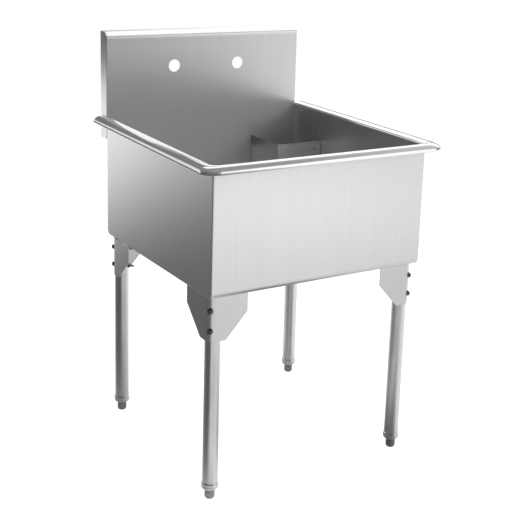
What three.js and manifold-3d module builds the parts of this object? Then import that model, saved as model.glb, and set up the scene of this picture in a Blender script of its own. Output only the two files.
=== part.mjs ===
// Floor-standing utility laundry sink: one deep bowl with a rolled rim on its open
// sides, a tall backsplash with two tap holes, a pitched floor with a corner drain
// behind a perforated lift-out guard, and four bolted tube legs on levelling feet.
//
// Millimetres, +Z up. The origin is on the ground under the middle of the outline.
// +X is to the right of a person at the sink, and +Y points to the wall behind it.

import * as THREE from 'three';
import { mergeVertices } from 'three/addons/utils/BufferGeometryUtils.js';
import Module from 'manifold-3d';

const wasm = await Module();
wasm.setup();

// ---------------------------------------------------------------- sizes

// Bowl
const bowlWidth = 612;
const bowlDepth = 636;
const sheet = 1.5;
const rimCrestHeight = 863.6;
const undersideHeight = 536;
const floorFall = 14;
const floorBendRadius = 16;
const bendFlat = 0.5;
const seam = 0.3;

// Rolled rim
const rimWidth = 40;
const rimCrestOut = 14;
const rimInnerRise = 8;
const rimOuterDrop = 16.5;
const rimCornerInner = 4;
const rimCornerGrowth = 36;
const rimCornerBlend = 12;

// Backsplash
const splashRise = 228.6;
const splashDepth = 43;
const splashReturnBelowRim = 68.6;
const splashBendRadius = 16;
const splashTopBendRadius = 3;
const splashBevel = 15;
const tapHoleDiameter = 35;
const tapHoleSpacing = 203.2;
const tapHoleAboveRim = 128;

// Legs
const legDiameter = 38.1;
const legWall = 1.5;
const frontLegSideInset = 26;
const frontLegInset = 39;
const backLegSideInset = 22;
const backLegInset = 51;

// Leg brackets
const bracketThickness = 2;
const bracketLegGap = 0.3;
const bracketReachBack = 98;
const bracketReachAcross = 83;
const bracketHeight = 114;
const bracketSideHeight = 49;
const bracketFootReach = 25;
const frontBracketTrim = 0.9;
const backBracketTrim = 5.3;

// Bracket bolts
const boltDiameter = 6.35;
const boltHoleDiameter = 7;
const boltHeadAcrossFlats = 11.1;
const boltHeadHeight = 4.2;
const boltTipPastLegAxis = 36;
const boltFirstDrop = 36;
const boltSpacing = 50.8;
const nutHeight = 5.6;
const nutBoreClearance = 0.3;
const washerDiameter = 16;
const washerThickness = 1.5;

// Levelling feet
const collarDiameter = 42.5;
const collarTop = 44;
const collarBandHeight = 10;
const collarBottom = 27;
const collarBottomDiameter = 28;
const collarPlugLength = 26;
const collarPlugClearance = 0.3;
const footDiameter = 25.4;
const footTipDiameter = 14;
const footTipHeight = 8;
const studDiameter = 12.7;
const studLength = 84;
const studClearance = 0.3;

// Corner guard
const guardSheet = 1.2;
const guardReachSide = 151;
const guardReachBack = 155;
const guardBelowRim = 92.6;
const guardBendRadius = 7;
const guardWallGap = 1.5;
const guardHoleDiameter = 6;
const guardHolePitch = 85;
const guardRowPitch = 25.4;
const guardFirstRowDrop = 23;
const guardLowestHole = 12;
const guardHoleFromWallAcross = 22.5;
const guardHoleFromWallBack = 22;

// Drain
const drainFromSide = 84;
const drainFromBack = 84;
const drainNeckRadius = 30;
const drainHoleClearance = 1;
const drainFlangeRadius = 43;
const drainFlangeHeight = 2.4;
const drainFlangeEdge = 3;
const drainThroatEase = 2;
const drainCupRadius = 27;
const drainCupDepth = 31;
const drainSeatWidth = 4;
const drainConeDepth = 9;
const drainWall = 3;
const outletRadius = 18.2;
const outletWall = 4.8;
const outletLength = 20;
const gasketRadius = 40;
const gasketThickness = 3;
const ringRadius = 39;
const ringThickness = 1.2;
const locknutRadius = 38;
const locknutHeight = 9;
const locknutLugs = 8;
const locknutLugDepth = 3;
const threadClearance = 0.3;
const strainerSheet = 1.2;
const strainerClearance = 0.4;
const strainerHoleDiameter = 6;
const strainerHoleCircle = 17;
const strainerHoles = 8;
const strainerPostRadius = 3;
const strainerKnobRadius = 8;
const strainerKnobHeight = 6;
const strainerKnobEase = 1;
const tailpieceRadius = 19.05;
const tailpieceWall = 1.3;
const tailpieceLength = 110;
const tailpieceFlangeRadius = 22.5;
const tailpieceFlangeThickness = 2;
const tailWasherThickness = 1.6;
const couplingNutAcrossFlats = 54;
const couplingNutGrip = 12;
const couplingNutLip = 2.5;

// Facets
const bendStep = Math.PI / 12;
const tubeFacets = 24;
const holeFacets = 20;
const smallFacets = 12;
const cutPast = 5;

// ------------------------------------------------- places that follow from the sizes

const overallDepth = rimWidth + bowlDepth + splashDepth;
const wallY = overallDepth / 2;
const splashY = wallY - splashDepth;
const frontY = splashY - bowlDepth;
const bowlBackY = splashY + sheet;
const sideX = bowlWidth / 2;
const innerSideX = sideX - sheet;
const wallTop = rimCrestHeight - rimInnerRise;
const splashTop = rimCrestHeight + splashRise;
const floorTilt = Math.atan(floorFall / (bowlBackY - frontY));
const legRadius = legDiameter / 2;
const bracketInnerRadius = legRadius + bracketLegGap;
const bracketOuterRadius = bracketInnerRadius + bracketThickness;

// Height of the bowl's underside at a distance toward the wall.
function undersideAt(y) {
  return undersideHeight - (y - frontY) * Math.tan(floorTilt);
}

// ---------------------------------------------------------------- shape helpers

// A path through corners given as [u, v, radius], with each corner rounded by its radius.
function roundedPath(corners) {
  const path = [];
  corners.forEach(([u, v, radius], index) => {
    const corner = new THREE.Vector2(u, v);
    if (!radius) {
      path.push(corner);
      return;
    }
    const directionTo = ([otherU, otherV]) => new THREE.Vector2(otherU, otherV).sub(corner).normalize();
    const back = directionTo(corners[index - 1]);
    const ahead = directionTo(corners[index + 1]);
    const halfAngle = Math.acos(back.dot(ahead)) / 2;
    const bisector = back.clone().add(ahead).normalize();
    const centre = corner.clone().addScaledVector(bisector, radius / Math.sin(halfAngle));
    const start = corner.clone().addScaledVector(back, radius / Math.tan(halfAngle)).sub(centre);
    const turn = (Math.PI - 2 * halfAngle) * Math.sign(ahead.cross(back));
    const steps = Math.max(2, Math.round(Math.abs(turn) / bendStep));
    for (let step = 0; step <= steps; step += 1) {
      path.push(start.clone().rotateAround(new THREE.Vector2(), (turn * step) / steps).add(centre));
    }
  });
  return path;
}

// The same path moved to its left, with mitred corners.
function offsetLeft(path, distance) {
  const leftOf = (from, to) => {
    const along = to.clone().sub(from).normalize();
    return new THREE.Vector2(-along.y, along.x);
  };
  return path.map((point, index) => {
    const before = index > 0 ? leftOf(path[index - 1], point) : leftOf(point, path[1]);
    const after = index < path.length - 1 ? leftOf(point, path[index + 1]) : before;
    const mitre = before.clone().add(after).normalize();
    return point.clone().addScaledVector(mitre, distance / mitre.dot(before));
  });
}

// The closed outline of a bent sheet whose outer face follows the path.
function sheetOutline(path, thickness) {
  return [...path, ...offsetLeft(path, thickness).reverse()];
}

// Axes of an extrusion: its outline's two directions, then the direction it is pushed in.
const alongX = new THREE.Matrix4().makeBasis(
  new THREE.Vector3(0, 1, 0),
  new THREE.Vector3(0, 0, 1),
  new THREE.Vector3(1, 0, 0),
);
const alongY = new THREE.Matrix4().makeBasis(
  new THREE.Vector3(1, 0, 0),
  new THREE.Vector3(0, 0, 1),
  new THREE.Vector3(0, -1, 0),
);
const alongZ = new THREE.Matrix4();

// A prism over an outline, centred on the given distance along its own axis.
function prism(outline, length, axes, middle) {
  const shape = new THREE.Shape(outline);
  const geometry = new THREE.ExtrudeGeometry(shape, { depth: length, bevelEnabled: false });
  geometry.translate(0, 0, middle - length / 2);
  return geometry.applyMatrix4(axes);
}

// A round bar along a direction, from one distance to another past the given point.
function bar(radius, facets, point, direction, from, to) {
  const geometry = new THREE.CylinderGeometry(radius, radius, to - from, facets);
  const turn = new THREE.Quaternion().setFromUnitVectors(new THREE.Vector3(0, 1, 0), direction);
  geometry.applyQuaternion(turn);
  const centre = point.clone().addScaledVector(direction, (from + to) / 2);
  return geometry.translate(centre.x, centre.y, centre.z);
}

// A turned ring or plug about +Z from [radius, height] pairs, given in either direction.
function turned(profile, facets) {
  const points = profile.map(([radius, height]) => new THREE.Vector2(radius, height));
  if (THREE.ShapeUtils.isClockWise(points)) {
    points.reverse();
  }
  return new THREE.LatheGeometry(points, facets).rotateX(Math.PI / 2);
}

// A turned ring whose profile closes on itself.
function turnedRing(profile, facets) {
  return turned([...profile, profile[0]], facets);
}

function circle(radius, facets) {
  return Array.from({ length: facets }, (_, index) => {
    const angle = (2 * Math.PI * index) / facets;
    return new THREE.Vector2(radius * Math.cos(angle), radius * Math.sin(angle));
  });
}

function toSolid(geometry) {
  const bare = geometry.clone();
  bare.deleteAttribute('normal');
  bare.deleteAttribute('uv');
  const merged = mergeVertices(bare, 1e-4);
  return new wasm.Manifold(new wasm.Mesh({
    numProp: 3,
    vertProperties: Float32Array.from(merged.attributes.position.array),
    triVerts: Uint32Array.from(merged.index.array),
  }));
}

function toGeometry(solid) {
  const mesh = solid.getMesh();
  const geometry = new THREE.BufferGeometry();
  geometry.setAttribute('position', new THREE.BufferAttribute(mesh.vertProperties, 3));
  geometry.setIndex(new THREE.BufferAttribute(mesh.triVerts, 1));
  geometry.computeVertexNormals();
  return geometry;
}

function cutFrom(geometry, cutters) {
  const solid = cutters.reduce((left, cutter) => left.subtract(toSolid(cutter)), toSolid(geometry));
  return toGeometry(solid);
}

function commonPart(geometry, keep) {
  return toGeometry(toSolid(geometry).intersect(toSolid(keep)));
}

// ---------------------------------------------------------------- materials

const stainless = { color: 0xc9cccf, roughness: 0.34, metalness: 1 };
const zinc = { color: 0x3b3d40, roughness: 0.42, metalness: 1 };
const darkFoot = { color: 0x4a4c4f, roughness: 0.45, metalness: 1 };
const chrome = { color: 0xd8dadd, roughness: 0.12, metalness: 1 };
const rubber = { color: 0x1d1e20, roughness: 0.8, metalness: 0 };

const sink = new THREE.Group();

function addPiece(name, geometry, look, parent = sink) {
  const mesh = new THREE.Mesh(geometry, new THREE.MeshStandardMaterial(look));
  mesh.name = name;
  parent.add(mesh);
  return mesh;
}

// ---------------------------------------------------------------- drain position

const drain = new THREE.Group();
const drainX = innerSideX - drainFromSide;
const drainY = splashY - drainFromBack;
drain.position.set(drainX, drainY, undersideAt(drainY) + sheet / Math.cos(floorTilt));
drain.rotation.x = -floorTilt;
const drainAxis = new THREE.Vector3(0, Math.sin(floorTilt), Math.cos(floorTilt));

// ---------------------------------------------------------------- bowl

// Outer faces of the bowl's sheet, from the front wall's top down, along the floor and
// up the back, and of the backsplash over its bevel to the ledge that meets the wall.
// The sheet is stated in three runs that part just past its two bends.
const bowlCorners = [
  [frontY, wallTop - seam, 0],
  [frontY, undersideAt(frontY), floorBendRadius],
  [bowlBackY, undersideAt(bowlBackY), floorBendRadius],
];
const bevelShift = sheet * Math.tan(Math.PI / 8);
const splashCorners = [
  [bowlBackY, splashTop - splashBevel - bevelShift, splashBendRadius - sheet],
  [splashY + splashBevel + bevelShift, splashTop - sheet, splashTopBendRadius - sheet],
  [wallY, splashTop - sheet, 0],
];
const bowlPath = roundedPath([...bowlCorners, [bowlBackY, wallTop - seam, 0]]);
const splashPath = roundedPath([[bowlBackY, wallTop, 0], ...splashCorners]);
const sheetWidth = bowlWidth - 2 * (sheet + seam);
const tapHoles = [-1, 1].map((side) => bar(
  tapHoleDiameter / 2,
  holeFacets,
  new THREE.Vector3((side * tapHoleSpacing) / 2, splashY, rimCrestHeight + tapHoleAboveRim),
  new THREE.Vector3(0, 1, 0),
  -cutPast,
  sheet + cutPast,
));
const drainHole = bar(
  drainNeckRadius + drainHoleClearance,
  tubeFacets,
  drain.position,
  drainAxis,
  -sheet - cutPast,
  cutPast,
);
const acrossSheet = (path) => prism(sheetOutline(path, sheet), sheetWidth, alongX, 0);
const frontBendEnd = frontY + floorBendRadius * Math.tan(Math.PI / 4 - floorTilt / 2) + bendFlat;
const backBendEnd = bowlBackY - floorBendRadius * Math.tan(Math.PI / 4 + floorTilt / 2) - bendFlat;
const onUnderside = (y) => [y, undersideAt(y), 0];
const [frontTop, frontBend, backBend] = bowlCorners;
const frontPath = roundedPath([frontTop, frontBend, onUnderside(frontBendEnd)]);
const floorPath = roundedPath([onUnderside(frontBendEnd + seam), onUnderside(backBendEnd - seam)]);
const backPath = roundedPath([onUnderside(backBendEnd), backBend, [bowlBackY, wallTop - seam, 0]]);
addPiece('bowl_front', acrossSheet(frontPath), stainless);
addPiece('bowl_floor', cutFrom(acrossSheet(floorPath), [drainHole]), stainless);
addPiece('bowl_back', acrossSheet(backPath), stainless);
addPiece('backsplash', cutFrom(acrossSheet(splashPath), tapHoles), stainless);

// End panels close the two sides of the bowl.
for (const [side, word] of [[-1, 'left'], [1, 'right']]) {
  const middle = side * (sideX - sheet / 2);
  addPiece(`end_panel_${word}`, prism(bowlPath, sheet, alongX, middle), stainless);
}

// Side returns close the backsplash's ends between its face and the wall.
const splashFront = offsetLeft(splashPath, sheet).slice(1);
const returnOutline = [
  new THREE.Vector2(splashY, wallTop + seam),
  ...splashFront,
  new THREE.Vector2(wallY, rimCrestHeight - splashReturnBelowRim),
  new THREE.Vector2(bowlBackY + seam, rimCrestHeight - splashReturnBelowRim),
  new THREE.Vector2(bowlBackY + seam, wallTop + seam),
];
for (const [side, word] of [[-1, 'left'], [1, 'right']]) {
  const middle = side * (sideX - sheet / 2);
  addPiece(`backsplash_return_${word}`, prism(returnOutline, sheet, alongX, middle), stainless);
}

// ---------------------------------------------------------------- rolled rim

// Plan radius of the rim's corner at a distance outside the bowl's wall.
function rimCornerRadius(out) {
  return rimCornerInner + Math.min(out, 0)
    + rimCornerGrowth * (1 - Math.exp(-Math.max(out, 0) / rimCornerBlend));
}

// The rim's section as [out, height] pairs: two quarter ellipses over the sheet,
// then the same two under it.
function rimSection() {
  const innerSteps = 5;
  const outerSteps = 8;
  const face = (inset) => {
    const points = [];
    for (let step = 0; step <= innerSteps; step += 1) {
      const angle = (Math.PI / 2) * (step / innerSteps);
      const out = rimCrestOut - (rimCrestOut + sheet - inset) * Math.cos(angle);
      points.push([out, wallTop + (rimInnerRise - inset) * Math.sin(angle)]);
    }
    for (let step = 1; step <= outerSteps; step += 1) {
      const angle = (Math.PI / 2) * (step / outerSteps);
      const out = rimCrestOut + (rimWidth - rimCrestOut - inset) * Math.sin(angle);
      const height = (rimOuterDrop - inset) * Math.cos(angle);
      points.push([out, rimCrestHeight - rimOuterDrop + height]);
    }
    return points;
  };
  return [...face(0), ...face(sheet).reverse()];
}

// The section's path in plan: down the left side, round the front and up the right side.
function rimStations() {
  const cornerSteps = 8;
  const endY = splashY - seam;
  const stations = [(out) => [-sideX - out, endY]];
  for (const side of [-1, 1]) {
    for (let step = 0; step <= cornerSteps; step += 1) {
      const part = side < 0 ? step / cornerSteps : 1 - step / cornerSteps;
      const angle = (Math.PI / 2) * part;
      stations.push((out) => {
        const radius = rimCornerRadius(out);
        const x = sideX + out - radius + radius * Math.cos(angle);
        return [side * x, frontY - out + radius - radius * Math.sin(angle)];
      });
    }
  }
  stations.push((out) => [sideX + out, endY]);
  return stations;
}

function rimGeometry() {
  const section = rimSection();
  const stations = rimStations();
  const positions = stations.flatMap((place) => section.flatMap(([out, height]) => [...place(out), height]));
  const count = section.length;
  const indices = [];
  for (let station = 0; station < stations.length - 1; station += 1) {
    for (let index = 0; index < count; index += 1) {
      const a = station * count + index;
      const b = station * count + ((index + 1) % count);
      indices.push(a, b, b + count, a, b + count, a + count);
    }
  }
  const outline = section.map(([out, height]) => new THREE.Vector2(out, height));
  const last = (stations.length - 1) * count;
  for (const [a, b, c] of THREE.ShapeUtils.triangulateShape(outline, [])) {
    indices.push(a, b, c, last + a, last + c, last + b);
  }
  const geometry = new THREE.BufferGeometry();
  geometry.setAttribute('position', new THREE.Float32BufferAttribute(positions, 3));
  geometry.setIndex(indices);
  geometry.computeVertexNormals();
  return geometry;
}
addPiece('rim_roll', rimGeometry(), stainless);

// ---------------------------------------------------------------- legs

const legs = [
  { name: 'front_left', side: -1, end: -1 },
  { name: 'front_right', side: 1, end: -1 },
  { name: 'back_left', side: -1, end: 1 },
  { name: 'back_right', side: 1, end: 1 },
].map((leg) => {
  const front = leg.end < 0;
  const x = leg.side * (sideX - (front ? frontLegSideInset : backLegSideInset));
  const y = front ? frontY + frontLegInset : splashY - backLegInset;
  const bracketLevel = undersideAt(y) + (front ? frontBracketTrim : backBracketTrim);
  const outward = new THREE.Vector3(leg.side, leg.end, 0).normalize();
  const boltPoints = [0, 1].map((row) => (
    new THREE.Vector3(x, y, bracketLevel - boltFirstDrop - row * boltSpacing)));
  return { ...leg, x, y, bracketLevel, outward, boltPoints };
});

for (const leg of legs) {
  const top = undersideAt(leg.y + legRadius) - seam;
  const bottom = collarTop + seam;
  const tube = turnedRing([
    [legRadius, bottom],
    [legRadius, top],
    [legRadius - legWall, top],
    [legRadius - legWall, bottom],
  ], tubeFacets).translate(leg.x, leg.y, 0);
  const holes = leg.boltPoints.map((point) => bar(
    boltHoleDiameter / 2, smallFacets, point, leg.outward, -legDiameter, legDiameter));
  addPiece(`leg_tube_${leg.name}`, cutFrom(tube, holes), stainless);
}

// Brackets: a plate bent round the leg's outer corner, with a tapered wing on each side,
// trimmed to the bowl's underside.
function bracketGeometry(leg) {
  const lowest = leg.bracketLevel - bracketHeight;
  const highest = undersideHeight + cutPast;
  const place = ([u, v, radius]) => [leg.x - leg.side * u, leg.y - leg.end * v, radius];
  const plan = roundedPath([
    place([-bracketOuterRadius, bracketReachBack, 0]),
    place([-bracketOuterRadius, -bracketOuterRadius, bracketOuterRadius]),
    place([bracketReachAcross, -bracketOuterRadius, 0]),
  ]);
  const inward = leg.side * leg.end;
  const plate = prism(
    sheetOutline(plan, inward * bracketThickness), highest - lowest, alongZ, (highest + lowest) / 2);
  const taper = (axisAt, direction, reach) => [
    [bracketFootReach, lowest - cutPast],
    [bracketFootReach, lowest],
    [reach, leg.bracketLevel - bracketSideHeight],
    [reach + cutPast, leg.bracketLevel - bracketSideHeight],
    [reach + cutPast, lowest - cutPast],
  ].map(([u, v]) => new THREE.Vector2(axisAt - direction * u, v));
  const wingMiddle = bracketOuterRadius - bracketThickness / 2;
  const sideWing = prism(
    taper(leg.y, leg.end, bracketReachBack),
    bracketThickness + 2 * seam,
    alongX,
    leg.x + leg.side * wingMiddle,
  );
  const endWing = prism(
    taper(leg.x, leg.side, bracketReachAcross),
    bracketThickness + 2 * seam,
    alongY,
    -(leg.y + leg.end * wingMiddle),
  );
  const above = prism([
    new THREE.Vector2(frontY, undersideAt(frontY) - seam),
    new THREE.Vector2(bowlBackY, undersideAt(bowlBackY) - seam),
    new THREE.Vector2(bowlBackY, highest + cutPast),
    new THREE.Vector2(frontY, highest + cutPast),
  ], bowlWidth, alongX, 0);
  const holes = leg.boltPoints.map((point) => bar(
    boltHoleDiameter / 2, smallFacets, point, leg.outward, 0, legDiameter));
  return cutFrom(plate, [sideWing, endWing, above, ...holes]);
}
for (const leg of legs) {
  addPiece(`leg_bracket_${leg.name}`, bracketGeometry(leg), stainless);
}

// Bolts run from outside the bracket through the leg to a nut on its inner side.
const washerAt = bracketOuterRadius + seam;
const headAt = washerAt + washerThickness + seam;
const nutAt = -legRadius - seam;
const rowWords = ['upper', 'lower'];
const boltPlaces = legs.flatMap((leg) => leg.boltPoints.map((point, row) => (
  { name: `${leg.name}_${rowWords[row]}`, point, outward: leg.outward })));

// A ring or plug made about +Z, moved so that +Z lies along the bolt.
function ontoBolt(geometry, { point, outward }, at) {
  const turn = new THREE.Quaternion().setFromUnitVectors(new THREE.Vector3(0, 0, 1), outward);
  geometry.applyQuaternion(turn);
  const centre = point.clone().addScaledVector(outward, at);
  return geometry.translate(centre.x, centre.y, centre.z);
}

const hexRadius = boltHeadAcrossFlats / Math.sqrt(3);
function boltGeometry(place) {
  const head = prism(circle(hexRadius, 6), boltHeadHeight, alongZ, boltHeadHeight / 2);
  const shankLength = headAt + boltTipPastLegAxis + boltHeadHeight / 2;
  const shank = prism(
    circle(boltDiameter / 2, smallFacets), shankLength, alongZ, boltHeadHeight / 2 - shankLength / 2);
  return ontoBolt(toGeometry(toSolid(head).add(toSolid(shank))), place, headAt);
}

function washerGeometry(place) {
  const ring = turnedRing([
    [boltHoleDiameter / 2, 0],
    [washerDiameter / 2, 0],
    [washerDiameter / 2, washerThickness],
    [boltHoleDiameter / 2, washerThickness],
  ], smallFacets);
  return ontoBolt(ring, place, washerAt);
}

function nutGeometry(place) {
  const block = prism(circle(hexRadius, 6), nutHeight, alongZ, -nutHeight / 2);
  const bore = prism(
    circle(boltDiameter / 2 + nutBoreClearance, smallFacets),
    nutHeight + 2 * cutPast,
    alongZ,
    -nutHeight / 2,
  );
  return ontoBolt(cutFrom(block, [bore]), place, nutAt);
}

for (const place of boltPlaces) {
  addPiece(`bolt_${place.name}`, boltGeometry(place), zinc);
  addPiece(`washer_${place.name}`, washerGeometry(place), zinc);
  addPiece(`nut_${place.name}`, nutGeometry(place), zinc);
}

// ---------------------------------------------------------------- levelling feet

// Collar: a plug inside the tube, a band as wide as its shoulder, and a rounded underside.
function collarGeometry() {
  const bore = studDiameter / 2 + studClearance;
  const plug = legRadius - legWall - collarPlugClearance;
  const wide = collarDiameter / 2;
  const narrow = collarBottomDiameter / 2;
  const bandBottom = collarTop - collarBandHeight;
  const underside = [0.25, 0.5, 0.75].map((part) => {
    const angle = (Math.PI / 2) * part;
    return [
      narrow + (wide - narrow) * Math.cos(angle),
      bandBottom - (bandBottom - collarBottom) * Math.sin(angle),
    ];
  });
  return turnedRing([
    [bore, collarTop + collarPlugLength],
    [bore, collarBottom],
    [narrow, collarBottom],
    ...underside.reverse(),
    [wide, bandBottom],
    [wide, collarTop],
    [plug, collarTop],
    [plug, collarTop + collarPlugLength],
  ], tubeFacets);
}

// Foot: a round-nosed bullet with its threaded stud.
function footGeometry() {
  const radius = footDiameter / 2;
  const tip = footTipDiameter / 2;
  const top = collarBottom - seam;
  const nose = [0.2, 0.4, 0.6, 0.8].map((part) => {
    const angle = (Math.PI / 2) * part;
    return [tip + (radius - tip) * Math.sin(angle), footTipHeight * (1 - Math.cos(angle))];
  });
  return turned([
    [0, 0],
    [tip, 0],
    ...nose,
    [radius, footTipHeight],
    [radius, top],
    [studDiameter / 2, top],
    [studDiameter / 2, top + studLength],
    [0, top + studLength],
  ], holeFacets);
}
for (const leg of legs) {
  addPiece(`collar_${leg.name}`, collarGeometry(), stainless).position.set(leg.x, leg.y, 0);
  addPiece(`foot_${leg.name}`, footGeometry(), darkFoot).position.set(leg.x, leg.y, 0);
}

// ---------------------------------------------------------------- corner guard

const guardX = innerSideX - guardReachSide;
const guardY = splashY - guardReachBack;
const guardTop = rimCrestHeight - guardBelowRim;

// Holes in rows: two in an even row and one between them in an odd row. The face toward
// the bowl's middle has no holes in its first row.
function guardHoles() {
  const holes = [];
  const farAcross = innerSideX - guardHoleFromWallAcross;
  const farBack = splashY - guardHoleFromWallBack;
  for (let row = 0; ; row += 1) {
    const height = guardTop - guardFirstRowDrop - row * guardRowPitch;
    if (height < undersideAt(guardY) + sheet + guardLowestHole) {
      return holes;
    }
    const shifts = row % 2 === 0 ? [0, guardHolePitch] : [guardHolePitch / 2];
    for (const shift of shifts) {
      const front = new THREE.Vector3(farAcross - shift, guardY, height);
      const side = new THREE.Vector3(guardX, farBack - shift, height);
      holes.push({ point: front, axis: new THREE.Vector3(0, 1, 0) });
      if (row > 0) {
        holes.push({ point: side, axis: new THREE.Vector3(1, 0, 0) });
      }
    }
  }
}

function guardGeometry() {
  const plan = roundedPath([
    [guardX, splashY - guardWallGap, 0],
    [guardX, guardY, guardBendRadius],
    [innerSideX - guardWallGap, guardY, 0],
  ]);
  const height = guardTop - undersideHeight + floorFall;
  const blank = prism(sheetOutline(plan, guardSheet), height, alongZ, guardTop - height / 2);
  const inside = offsetLeft(bowlPath, sheet + seam);
  const trimmed = commonPart(blank, prism(inside, bowlWidth, alongX, 0));
  const cutters = guardHoles().map(({ point, axis }) => bar(
    guardHoleDiameter / 2, smallFacets, point, axis, -guardSheet, 2 * guardSheet));
  return cutFrom(trimmed, cutters);
}
addPiece('corner_guard', guardGeometry(), stainless);

// ---------------------------------------------------------------- drain

// Heights in the drain's own frame start at the floor's upper face.
const underFloor = -sheet - seam;
const seatHeight = -drainCupDepth - seam;
const outletTop = seatHeight - drainConeDepth;
const outletBottom = outletTop - outletLength;
const outletOuter = outletRadius + outletWall;
sink.add(drain);

addPiece('drain_body', turnedRing([
  [drainFlangeRadius, seam],
  [drainFlangeRadius, seam + drainFlangeHeight / 2],
  [drainFlangeRadius - drainFlangeEdge, seam + drainFlangeHeight],
  [drainCupRadius + drainThroatEase, seam + drainFlangeHeight / 2],
  [drainCupRadius, -drainFlangeHeight],
  [drainCupRadius, seatHeight],
  [drainCupRadius - drainSeatWidth, seatHeight],
  [outletRadius, outletTop],
  [outletRadius, outletBottom],
  [outletOuter, outletBottom],
  [outletOuter, outletTop - drainWall],
  [drainNeckRadius, seatHeight - drainWall],
  [drainNeckRadius, seam],
], tubeFacets), stainless, drain);

addPiece('drain_gasket', turnedRing([
  [drainNeckRadius + threadClearance, underFloor],
  [gasketRadius, underFloor],
  [gasketRadius, underFloor - gasketThickness],
  [drainNeckRadius + threadClearance, underFloor - gasketThickness],
], tubeFacets), rubber, drain);

const ringTop = underFloor - gasketThickness - seam;
addPiece('drain_slip_ring', turnedRing([
  [drainNeckRadius + threadClearance, ringTop],
  [ringRadius, ringTop],
  [ringRadius, ringTop - ringThickness],
  [drainNeckRadius + threadClearance, ringTop - ringThickness],
], tubeFacets), stainless, drain);

// Locknut with grip lugs round its edge.
function locknutOutline() {
  const points = [];
  for (let lug = 0; lug < locknutLugs; lug += 1) {
    const step = (2 * Math.PI) / locknutLugs;
    const valley = locknutRadius - locknutLugDepth;
    [[0, locknutRadius], [0.4, locknutRadius], [0.5, valley], [0.9, valley]].forEach(([part, radius]) => {
      const angle = step * (lug + part);
      points.push(new THREE.Vector2(radius * Math.cos(angle), radius * Math.sin(angle)));
    });
  }
  return points;
}
const locknutTop = ringTop - ringThickness - seam;
const locknutMiddle = locknutTop - locknutHeight / 2;
addPiece('drain_locknut', cutFrom(prism(locknutOutline(), locknutHeight, alongZ, locknutMiddle), [
  prism(
    circle(drainNeckRadius + threadClearance, tubeFacets),
    locknutHeight + 2 * cutPast,
    alongZ,
    locknutMiddle,
  ),
]), chrome, drain);

// Strainer cup with a lifting knob on a post, seated on the shoulder in the drain.
const strainerRadius = drainCupRadius - strainerClearance;
const strainerBottom = seatHeight + seam;
const strainerFloor = strainerBottom + strainerSheet;
const strainerTop = -drainFlangeHeight;
const strainer = turned([
  [0, strainerBottom],
  [strainerRadius, strainerBottom],
  [strainerRadius, strainerTop],
  [strainerRadius - strainerSheet, strainerTop],
  [strainerRadius - strainerSheet, strainerFloor],
  [0, strainerFloor],
], tubeFacets);
addPiece('strainer_knob', turned([
  [0, strainerFloor + seam],
  [strainerPostRadius, strainerFloor + seam],
  [strainerPostRadius, strainerTop - strainerKnobHeight],
  [strainerKnobRadius, strainerTop - strainerKnobHeight / 2],
  [strainerKnobRadius - strainerKnobEase, strainerTop],
  [0, strainerTop],
], tubeFacets), stainless, drain);
const strainerCutters = Array.from({ length: strainerHoles }, (_, index) => {
  const angle = (2 * Math.PI * index) / strainerHoles;
  const centre = new THREE.Vector3(Math.cos(angle), Math.sin(angle), 0).multiplyScalar(strainerHoleCircle);
  centre.z = strainerBottom;
  return bar(
    strainerHoleDiameter / 2, smallFacets, centre, new THREE.Vector3(0, 0, 1), -cutPast, cutPast);
});
addPiece('drain_strainer', cutFrom(strainer, strainerCutters), stainless, drain);

const tailWasherTop = outletBottom - seam;
addPiece('tailpiece_washer', turnedRing([
  [tailpieceRadius - tailpieceWall, tailWasherTop],
  [tailpieceFlangeRadius, tailWasherTop],
  [tailpieceFlangeRadius, tailWasherTop - tailWasherThickness],
  [tailpieceRadius - tailpieceWall, tailWasherTop - tailWasherThickness],
], tubeFacets), rubber, drain);

const tailTop = tailWasherTop - tailWasherThickness - seam;
const tailFlangeBottom = tailTop - tailpieceFlangeThickness;
addPiece('tailpiece', turnedRing([
  [tailpieceFlangeRadius, tailTop],
  [tailpieceFlangeRadius, tailFlangeBottom],
  [tailpieceRadius, tailFlangeBottom],
  [tailpieceRadius, tailTop - tailpieceLength],
  [tailpieceRadius - tailpieceWall, tailTop - tailpieceLength],
  [tailpieceRadius - tailpieceWall, tailTop],
], tubeFacets), chrome, drain);

// Coupling nut: screws onto the outlet and holds the tailpiece by its flange.
const nutTop = outletBottom + couplingNutGrip;
const nutLipTop = tailFlangeBottom - seam;
const nutBottom = nutLipTop - couplingNutLip;
const nutMiddle = (nutTop + nutBottom) / 2;
const couplingBlock = prism(
  circle(couplingNutAcrossFlats / Math.sqrt(3), 6), nutTop - nutBottom, alongZ, nutMiddle);
const couplingThread = bar(
  outletOuter + threadClearance,
  tubeFacets,
  new THREE.Vector3(0, 0, nutLipTop),
  new THREE.Vector3(0, 0, 1),
  0,
  nutTop - nutLipTop + cutPast,
);
const couplingBore = bar(
  tailpieceRadius + threadClearance,
  tubeFacets,
  new THREE.Vector3(0, 0, nutMiddle),
  new THREE.Vector3(0, 0, 1),
  -nutTop + nutBottom,
  nutTop - nutBottom,
);
addPiece('coupling_nut', cutFrom(couplingBlock, [couplingThread, couplingBore]), chrome, drain);

export default sink;
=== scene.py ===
"""Dresses the floor-standing laundry sink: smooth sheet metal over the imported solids,
brushed and polished steel, and a white studio seen from the photograph's place."""

import math

import bmesh
import bpy
import numpy as np
from bpy.props import FloatProperty, FloatVectorProperty, PointerProperty
from mathutils import Matrix, Vector


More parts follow.
